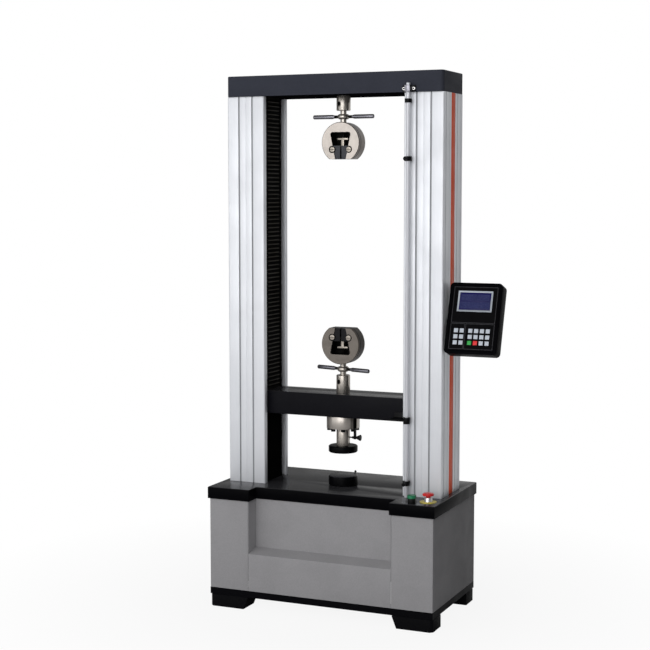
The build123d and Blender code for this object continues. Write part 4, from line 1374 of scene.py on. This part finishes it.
        # The bar's thin waist by the collar is painted near-black: painted shade.
        waist = Patch(POCKET_SHADE, lambda centre, normal: centre.x < self.waist_end + self.waist_slack)
        self.paint(bar, BAR_STEEL, [waist])
        points = [point.co for point in frame["nodes"][node].data.vertices]
        tip = [point for point in points if point.x > self.bar_tip_share * high.x]
        mean = sum(tip, Vector()) / len(tip)
        turn = math.atan2(mean.y, mean.x)
        bars = Bench.repeat("tommy_bars", bar, [Matrix.Rotation(turn + math.pi * number, 4, "Z")
                                                for number in range(2)])
        self.stand_for(Bench.join(f"{node}_turned", [collar, bars]), node)

    def _jaw(self, node: str) -> None:
        """A wedge jaw with teeth across its gripping face.

        Args:
            node: the jaw's CAD node.
        """
        low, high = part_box(node)
        jaw = Bench.from_node(node, node + "_toothed")
        count = int((high.z - low.z) / self.tooth_pitch)
        reach = self.jaw_half_gap + self.tooth_depth
        step = self.tooth_pitch
        foot, head = (-reach, low.y - step, low.z), (reach, high.y + step, low.z + step / 2)
        comb = Bench.block("comb", foot, head)
        Bench.modify(comb, "ARRAY", count=count, use_relative_offset=False, use_constant_offset=True,
                     constant_offset_displace=(0.0, 0.0, step))
        self.stand_for(Bench.smooth(Bench.cut(jaw, comb)), node, self.jaw)


@dataclass
class LoadTrain(Assembly):
    """The load cell under the crosshead and the compression platens."""

    bolt_count: int = 8
    bolt_circle: float = 0.05
    bolt_head: float = 0.01
    key_radius: float = 0.0046
    key_depth: float = 0.005
    cell_edge: float = 0.0005
    cell_skin: float = 0.0585
    cell_upright: float = 0.3
    lever_foot: Point = (0.0235, 0.0465, 0.462)
    lever_tip: Point = (0.0235, 0.0595, 0.4745)
    lever_radius: float = 0.0017
    ball_radius: float = 0.0042

    def build(self) -> None:
        """Dresses the load train and adds the screws' sockets and the platen's lever."""
        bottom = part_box("load_cell_bolts")[0].z + self.bolt_head - self.cell_edge
        # The upright walls of the notches round the bolts are painted near-black as painted shade; the cell's
        # lowest faces are black oxide.
        patches = [
            Patch(POCKET_SHADE, lambda centre, normal: abs(normal.z) < self.cell_upright
                  and math.hypot(centre.x, centre.y) < self.cell_skin),
            Patch(BLACK_OXIDE, lambda centre, normal: centre.z < bottom),
        ]
        self.eased("load_cell", CELL_STEEL, self.cell_edge, patches)
        self.eased("compression_stem", STEM_STEEL, SLIM_EDGE)
        self._bolts()
        self.eased("upper_platen", PLATEN_BLACK, SLIM_EDGE)
        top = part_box("lower_platen")[1].z
        # The lower platen's top is painted lighter grey: a painted reflection.
        self.eased("lower_platen", PLATEN_BLACK, SLIM_EDGE, [Patch(PLATEN_TOP_REFLECTION, facing_up(top))])
        self.eased("stem_lock_knob", MOULDED_BLACK, FINE_EDGE)
        self._lever()

    def _bolts(self) -> None:
        """The load cell's screws, with a hexagon socket in each head."""
        bolts = Bench.from_node("load_cell_bolts", "load_cell_bolts_socketed", whole=False)
        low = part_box("load_cell_bolts")[0].z
        key = [(self.key_radius, low - self.key_depth), (self.key_radius, low + self.key_depth)]
        model = Bench.turned("key_tool", key, (0.0, -self.bolt_circle, 0.0), steps=6)
        for number in range(self.bolt_count):
            turn = math.tau / self.bolt_count * (number + 0.5)
            Bench.cut(bolts, Bench.copy(model, f"key_tool_{number}", Matrix.Rotation(turn, 4, "Z")))
        bpy.data.objects.remove(model)
        self.stand_for(Bench.smooth(bolts), "load_cell_bolts", BLACK_OXIDE)

    def _lever(self) -> None:
        """The small ball-ended lever that locks the lower platen."""
        foot, tip = Vector(self.lever_foot), Vector(self.lever_tip)
        reach = (tip - foot).length
        turns = [math.pi * step / BALL_STEPS for step in range(BALL_STEPS // 4, BALL_STEPS)]
        size = self.ball_radius
        ball = [(size * math.sin(turn), reach - size * math.cos(turn)) for turn in turns]
        outline = [(self.lever_radius, 0.0), (self.lever_radius, ball[0][1])] + ball
        lever = Bench.turned("platen_lever", outline, steps=24)
        lean = (tip - foot).to_track_quat("Z", "Y").to_matrix().to_4x4()
        Bench.place(lever, Matrix.Translation(foot) @ lean)
        self.paint(Bench.smooth(lever), MOULDED_BLACK)
        self.seat(lever, body_of("lower_platen"), SLOTS["stem_lock_knob"])


@dataclass
class LimitGear(Assembly):
    """The limit rod with its bracket, collars, fork and switch."""

    rod: Span = (0.2875, -0.12)
    rod_radius: float = 0.0082
    keeper_level: float = 1.7
    thumb_start: float = 0.0178
    thumb_length: float = 0.0145
    thumb_radius: float = 0.0064
    thumb_end_share: float = 0.85
    thumb_edge: float = 0.001
    thumb_flats: int = 20
    boss_half: float = 0.013
    boss_slack: float = 0.0005
    boss_trim: float = 0.0038
    socket_share: float = 0.62
    bolt_radius: float = 0.0056
    bolt_height: float = 0.0043
    bolt_skin: float = 0.0003
    bolt_places: Sequence[Point] = ((0.26975, -0.113, 1.837), (0.30525, -0.113, 1.837))

    def build(self) -> None:
        """Dresses the limit gear, with knurled thumb screws and socketed bracket screws."""
        keeper = Patch(BLACK_OXIDE, lambda centre, normal: centre.z > self.keeper_level
                       and math.hypot(centre.x - self.rod[0], centre.y - self.rod[1]) > self.rod_radius)
        self.eased("limit_rod", ROD_STEEL, SLIM_EDGE, [keeper])
        self._bracket()
        self.eased("trip_fork", BLACK_OXIDE, SLIM_EDGE)
        for node in ("upper_stop_collar", "lower_stop_collar"):
            self.eased(node, BLACK_OXIDE, SLIM_EDGE)
            self._thumb(node)
        self.dress("limit_switch", MOULDED_BLACK)
        bolts = [self._bolt(f"bracket_bolt_{number}", place) for number, place in enumerate(self.bolt_places)]
        self.seat(Bench.join("bracket_bolts", bolts), "frame", SLOTS["load_cell_bolts"])

    def _bolt(self, name: str, place: Point) -> Piece:
        """A bright bracket screw with a dark socket.

        Args:
            name: the piece's name.
            place: the middle of its seat.

        Returns:
            The new piece.
        """
        x, y, z = place
        front, wide = y - self.bolt_height + self.bolt_skin, self.bolt_radius * self.socket_share
        # The socket is painted near-black: painted shade.
        socket = Patch(POCKET_SHADE, lambda centre, normal: centre.y > front
                       and math.hypot(centre.x - x, centre.z - z) < wide)
        bolt = socket_screw(name, self.bolt_radius, self.bolt_height, place, Facing.FRONT)
        return self.paint(bolt, BRIGHT_STEEL, [socket])

    def _bracket(self) -> None:
        """The rod's bracket: a slim bright boss round the rod between two dark ears."""
        bracket = Bench.from_node("rod_bracket", "rod_bracket_eased")
        middle = self.rod[0]
        for side in (-1, 1):
            edge = middle + side * self.boss_half
            Bench.pick(bracket, Pick.POINTS, lambda point: abs(point.co.x - edge) < self.boss_slack)
            bpy.ops.transform.translate(value=(-side * self.boss_trim, 0.0, 0.0))
        slim = self.boss_half - self.boss_trim + EDGE
        ears = Patch(BLACK_OXIDE, lambda centre, normal: abs(centre.x - middle) > slim)
        self.stand_for(Bench.ease(bracket, SLIM_EDGE), "rod_bracket", BAR_STEEL, [ears])

    def _thumb(self, node: str) -> None:
        """The knurled sleeve on a stop collar's thumb screw.

        Args:
            node: the collar's CAD node.
        """
        low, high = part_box(node)
        start, end = self.thumb_start, self.thumb_start + self.thumb_length
        wide, edge = self.thumb_radius, self.thumb_edge
        narrow = wide * self.thumb_end_share
        outline = [(narrow, start), (wide, start + edge), (wide, end - edge), (narrow, end)]
        sleeve = Bench.turned(f"{node}_sleeve", outline, facing=Facing.FRONT, steps=self.thumb_flats)
        Bench.place(sleeve, Matrix.Translation((*self.rod, (low.z + high.z) / 2)))
        self.paint(sleeve, BLACK_OXIDE)
        self.seat(sleeve, body_of(node), SLOTS[node])


@dataclass
class Buttons(Assembly):
    """The start button and the emergency stop on the table's right wing."""

    start_place: Span = (0.337, -0.2)
    cap_radius: float = 0.0155
    cap_height: float = 0.0103
    cap_edge: float = 0.0022
    cap_dish: float = 0.0009
    dish_shares: Sequence[float] = (0.8, 0.74, 0.3)
    stop_place: Span = (0.384, -0.165)
    head_radius: float = 0.02
    head_height: float = 0.01
    head_drop: float = 0.003
    stem_radius: float = 0.0078
    stem_reach: float = 0.006
    ring_height: float = 0.0025
    head_outline: Sequence[Span] = ((0.9, 0.0), (0.98, 0.08), (1.0, 0.25), (1.0, 0.55), (0.97, 0.7),
                                    (0.88, 0.85), (0.7, 0.95), (0.35, 1.0))
    head_crisp: float = 50.0

    def build(self) -> None:
        """Models the cap and the mushroom head and dresses what they sit in."""
        self.eased("start_button_body", MOULDED_BLACK, FINE_EDGE)
        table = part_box("table_plate")[1].z
        neck = Patch(NECK_SILVER, lambda centre, normal: centre.z > table + self.ring_height)
        self.eased("estop_body", RING_YELLOW, FINE_EDGE, [neck])
        self._cap()
        self._head()

    def _cap(self) -> None:
        """The green cap: a rim round a shallow dish."""
        wide, height = self.cap_radius, self.cap_height
        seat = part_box("start_button_cap")[1].z - height
        rim, slope, middle = (wide * share for share in self.dish_shares)
        floor = height - self.cap_dish
        outline = rounded(wide, height, self.cap_edge) + [(rim, height), (slope, floor), (middle, floor)]
        cap = Bench.turned("start_cap_dished", outline, (*self.start_place, seat))
        self.stand_for(Bench.smooth(cap), "start_button_cap", CAP_GREEN)

    def _head(self) -> None:
        """The red mushroom head, with a full round edge and a slight crown."""
        wide, height = self.head_radius, self.head_height
        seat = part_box("estop_head")[1].z - height - self.head_drop
        outline = [(self.stem_radius, -self.stem_reach), (self.stem_radius, 0.0)]
        outline += [(wide * out, height * up) for out, up in self.head_outline]
        head = Bench.turned("estop_head_crowned", outline, (*self.stop_place, seat))
        self.stand_for(Bench.smooth(head, self.head_crisp), "estop_head", HEAD_RED)


@dataclass
class ControlBox(Assembly):
    """The hand box with its panel, keys, screen, arm and bracket.

    Its pieces are laid out in the box's own frame, whose front looks along -Y, then set in place.
    """

    pivot: Point = (0.511, -0.01, 1.04)
    tilt: float = -18.0
    panel_front: float = -0.0725
    case_back: float = -0.022
    case_edge: float = 0.003
    key_size: float = 0.0145
    key_height: float = 0.0019
    key_inset: float = 0.0022
    key_rise: float = 0.0006
    key_first: float = -0.05625
    key_pitch: float = 0.0205
    key_gap: float = 0.01
    key_columns: int = 6
    key_levels: Sequence[float] = (-0.086, -0.065, -0.044)
    line: float = 0.001
    line_height: float = 0.0004
    screen_rim: float = 0.006
    rim_edge: float = 0.0003
    screen_box: Box = (-0.0615, 0.0225, 0.0615, 0.0955)
    line_boxes: Sequence[Box] = (
        (-0.077, -0.0165, 0.077, 0.109), (-0.077, -0.108, -0.027, -0.0195), (-0.024, -0.108, 0.077, -0.0195))
    row_boxes: Sequence[Box] = ((-0.05, 0.062, 0.05, 0.083), (-0.052, 0.034, 0.052, 0.057))
    screw_radius: float = 0.004
    screw_height: float = 0.0025
    screw_places: Sequence[Span] = ((-0.078, -0.109), (0.078, -0.109), (-0.078, 0.109), (0.078, 0.109))

    def build(self) -> None:
        """Models what lies on the box and dresses the box itself."""
        turn = Matrix.Rotation(math.radians(self.tilt), 4, "X")
        self.seat_matrix = Matrix.Translation(self.pivot) @ turn
        self.eased("control_case", CASE_BLACK, self.case_edge, steps=3)
        self.eased("control_panel", PANEL_BLACK, 0.0, whole=False)
        self.eased("display_screen", SCREEN_BLUE, FINE_EDGE)
        self.eased("control_arm", CASE_BLACK)
        self.eased("control_bracket", CASE_BLACK)
        self._keys()
        self._lines()
        self._screen()
        self._screws()

    def _keep(self, piece: Piece, node: str) -> None:
        """Sets a painted piece in the box's place."""
        Bench.place(piece, self.seat_matrix)
        self.seat(piece, body_of("control_case"), SLOTS[node])

    def _key(self) -> Piece:
        """One key cap, with a raised rim round its top, about the middle of its seat.

        Returns:
            The new piece.
        """
        half = self.key_size / 2
        front = self.panel_front - self.key_height
        cap = Bench.block("key_cap", (-half, front, -half), (half, self.panel_front + SLACK, half))
        Bench.pick(cap, Pick.FACES, lambda face: face.normal.y < -LEVEL)
        bpy.ops.mesh.inset(thickness=self.key_inset)
        bpy.ops.transform.translate(value=(0.0, -self.key_rise, 0.0))
        Bench.clear()
        return Bench.ease(cap, SLIM_EDGE)

    def _keys(self) -> None:
        """Six columns of keys in two blocks; the start and stop keys are coloured, the digits plain."""
        model = self._key()
        caps = []
        for row, level in enumerate(self.key_levels):
            for column in range(self.key_columns):
                x = self.key_first + column * self.key_pitch + (self.key_gap if column > 1 else 0.0)
                cap = Bench.copy(model, f"key_{row}_{column}", Matrix.Translation((x, 0.0, level)))
                colour = {(0, 2): KEY_GREEN, (0, 3): KEY_RED}.get((row, column), KEY_PALE)
                caps.append(self.paint(cap, colour))
        bpy.data.objects.remove(model)
        self._keep(Bench.join("key_caps", caps), "control_panel")

    def _ring(self, name: str, box: Box, width: float, height: float) -> Piece:
        """A flat frame on the panel.

        Args:
            name: the piece's name.
            box: its outer corners, as left, low, right and high.
            width: the width of its border, or nothing for a full plate.
            height: how far it stands off the panel.

        Returns:
            The new piece.
        """
        left, low, right, high = box
        Bench.clear()
        bpy.ops.mesh.primitive_plane_add(size=1.0, rotation=(math.pi / 2, 0.0, 0.0),
                                         location=((left + right) / 2, self.panel_front, (low + high) / 2))
        ring = bpy.context.active_object
        ring.scale = (right - left, high - low, 1.0)
        Bench.settle(ring, name)
        Bench.edit(ring)
        if width:
            bpy.ops.mesh.inset(thickness=width)
            bpy.ops.mesh.delete(type="FACE")
        bpy.ops.mesh.select_all(action="SELECT")
        bpy.ops.mesh.extrude_region_move(TRANSFORM_OT_translate={"value": (0.0, -height, 0.0)})
        return Bench.smooth(Bench.recalculate(ring))

    def _rings(self, name: str, boxes: Sequence[Box], width: float) -> Piece:
        """Flat frames on the panel, as one piece."""
        rings = [self._ring(f"{name}_{number}", box, width, self.line_height)
                 for number, box in enumerate(boxes)]
        return Bench.join(name, rings)

    def _lines(self) -> None:
        """The printed lines round the display and the two key blocks."""
        lines = self._rings("panel_lines", self.line_boxes, self.line)
        self._keep(self.paint(lines, LINE_GREY), "control_panel")

    def _screen(self) -> None:
        """The bright rim round the screen and the two rows that it shows."""
        rim = self._ring("screen_rim", self.screen_box, self.screen_rim, 2 * self.line_height)
        self._keep(self.paint(Bench.ease(rim, self.rim_edge), SCREEN_RIM), "control_panel")
        rows = self._rings("screen_rows", self.row_boxes, 0.0)
        self._keep(self.paint(rows, SCREEN_ROW), "display_screen")

    def _screws(self) -> None:
        """The screws in the back of the case."""
        model = socket_screw("case_screw", self.screw_radius, self.screw_height, (0.0, self.case_back, 0.0),
                             Facing.BACK)
        moves = [Matrix.Translation((x, 0.0, z)) for x, z in self.screw_places]
        screws = Bench.repeat("case_screws", self.paint(model, BLACK_OXIDE), moves)
        self._keep(screws, "control_case")


@dataclass
class Drive(Assembly):
    """What works inside: motor, belt, screws, nuts, guides and bearings."""

    def build(self) -> None:
        """Dresses the drive."""
        for node in ("left_ball_screw", "right_ball_screw", "left_screw_pulley", "right_screw_pulley",
                     "motor_pulley", "guide_rods", "ball_nuts", "screw_bearings"):
            self.dress(node, BRIGHT_STEEL)
        self.dress("guide_bushes", BRONZE)
        self.dress("servo_motor", MOTOR_BLACK)
        self.dress("timing_belt", BELT_BLACK)


@dataclass
class Studio:
    """The floor, the lamps and the camera."""

    camera_place: Point = (2.0253, -4.8106, 1.4937)
    camera_pitch: float = -5.249
    camera_turn: float = 23.552
    lens: float = 81.087
    sensor: float = 36.0
    floor_size: float = 40.0
    floor_colour: Colour = (0.65, 0.65, 0.65)
    floor_roughness: float = 0.9
    ambient: Span = (0.04, 0.36)
    room_level: float = 0.22
    backdrop_side: Point = (0.4, 0.91, 0.0)
    backdrop_edge: Span = (0.64, 0.95)
    floor_white: float = 0.9
    floor_mirror: float = 0.8
    shadow_reach: Span = (0.5, 1.6)
    mirror_reach: Span = (0.0, 0.6)
    key_place: Point = (-3.2, -4.6, 2.2)
    key_size: float = 5.0
    key_power: float = 114.0
    fill_place: Point = (0.5, -5.3, 2.3)
    fill_size: float = 4.0
    fill_power: float = 171.0
    aim: Point = (0.0, 0.0, 0.95)

    def build(self) -> None:
        """Sets up the studio."""
        bpy.context.scene.view_settings.view_transform = "Standard"
        self._camera()
        self._world()
        self._floor()
        self._lamp("key_lamp", self.key_place, self.key_size, self.key_power)
        self._lamp("fill_lamp", self.fill_place, self.fill_size, self.fill_power)

    def _camera(self) -> None:
        """Adds the camera at the photograph's viewing angle."""
        lens = bpy.data.cameras.new("camera")
        lens.lens = self.lens
        lens.sensor_width = self.sensor
        camera = bpy.data.objects.new("camera", lens)
        camera.location = self.camera_place
        pitch, turn = math.radians(90.0 + self.camera_pitch), math.radians(self.camera_turn)
        camera.rotation_euler = (pitch, 0.0, turn)
        bpy.context.scene.collection.objects.link(camera)
        bpy.context.scene.camera = camera

    def _world(self) -> None:
        """A soft light: a white backdrop where it is seen or mirrored, and a dimmer room round it."""
        world = bpy.data.worlds.new("studio_world")
        bpy.context.scene.world = world
        world.use_nodes = True
        wiring = Wiring(world.node_tree)
        path = wiring.node("ShaderNodeLightPath").outputs
        direction = wiring.node("ShaderNodeTexCoord").outputs["Generated"]
        facing = wiring.vector_sum("DOT_PRODUCT", direction, self.backdrop_side, result="Value")
        mirrored = wiring.spread(facing, self.backdrop_edge, (self.room_level, 1.0))
        height = wiring.node("ShaderNodeSeparateXYZ", {0: direction}).outputs["Z"]
        soft = wiring.spread(height, UNIT, self.ambient)
        strength = wiring.spread(path["Is Glossy Ray"], UNIT, (soft, mirrored))
        seen = wiring.sum("MAXIMUM", path["Is Camera Ray"], path["Is Transmission Ray"])
        look = {"Color": rgba(WHITE), "Strength": wiring.sum("MAXIMUM", strength, seen)}
        wiring.feed(world.node_tree.nodes["Background"], look)

    def _floor(self) -> None:
        """A plain pale floor that keeps the machine's shadow."""
        Bench.clear()
        bpy.ops.mesh.primitive_plane_add(size=self.floor_size)
        floor = Bench.settle(bpy.context.active_object, "studio_floor")
        floor.data.materials.append(self._floor_material())

    def _floor_material(self) -> bpy.types.Material:
        """Pale matt paint that shows as white where it is seen or mirrored, with the shadow left in it.

        Returns:
            The floor's material.
        """
        material = bpy.data.materials.new("studio_floor")
        material.use_nodes = True
        wiring = Wiring(material.node_tree)
        paint = {"Base Color": rgba(self.floor_colour), "Roughness": self.floor_roughness}
        shader = wiring.feed(material.node_tree.nodes["Principled BSDF"], paint)
        white = wiring.node("ShaderNodeEmission").outputs["Emission"]
        path = wiring.node("ShaderNodeLightPath").outputs
        place = wiring.place()
        away = wiring.vector_sum("LENGTH", place, result="Value")
        behind = wiring.vector_sum("DOT_PRODUCT", place, self.backdrop_side, result="Value")
        seen = wiring.spread(away, self.shadow_reach, (self.floor_white, 1.0))
        mirrored = wiring.spread(behind, self.mirror_reach, (0.0, self.floor_mirror))
        share = wiring.sum("MAXIMUM", wiring.times(seen, path["Is Camera Ray"]),
                           wiring.times(mirrored, path["Is Glossy Ray"]))
        both = wiring.node("ShaderNodeMixShader", {0: share, 1: shader.outputs["BSDF"], 2: white})
        wiring.feed(material.node_tree.nodes["Material Output"], {"Surface": both.outputs["Shader"]})
        return material

    def _lamp(self, name: str, place: Point, size: float, power: float) -> None:
        """Adds a soft square lamp.

        Args:
            name: the lamp's name.
            place: where it hangs.
            size: the length of its side.
            power: its strength in watts.
        """
        light = bpy.data.lights.new(name, "AREA")
        light.size = size
        light.energy = power
        lamp = bpy.data.objects.new(name, light)
        lamp.location = place
        lamp.rotation_euler = (Vector(self.aim) - Vector(place)).to_track_quat("-Z", "Y").to_euler()
        bpy.context.scene.collection.objects.link(lamp)


def main() -> None:
    """Builds the machine's sub-assemblies in order, then the studio."""
    logging.basicConfig(level=logging.INFO, format="%(message)s")
    assemblies = [
        Cabinet(),
        Table(),
        Columns(),
        Bellows(),
        Beams(),
        WedgeGrip("upper", 1.662, 1, NICKEL_BRIGHT, UPPER_FACE, UPPER_GRIP_RIM_SHADE, JAW_BLUED),
        # The lower grip's finishes are darker copies of the upper grip's: painted shade.
        WedgeGrip("lower", 0.947, -1, DULL_NICKEL_SHADE, LOWER_GRIP_FACE_SHADE, LOWER_GRIP_RIM_SHADE, LOWER_JAW_SHADE),
        LoadTrain(),
        LimitGear(),
        Buttons(),
        ControlBox(),
        Drive(),
    ]
    for assembly in assemblies:
        assembly.build()
    Studio().build()


if __name__ == "__main__":
    main()
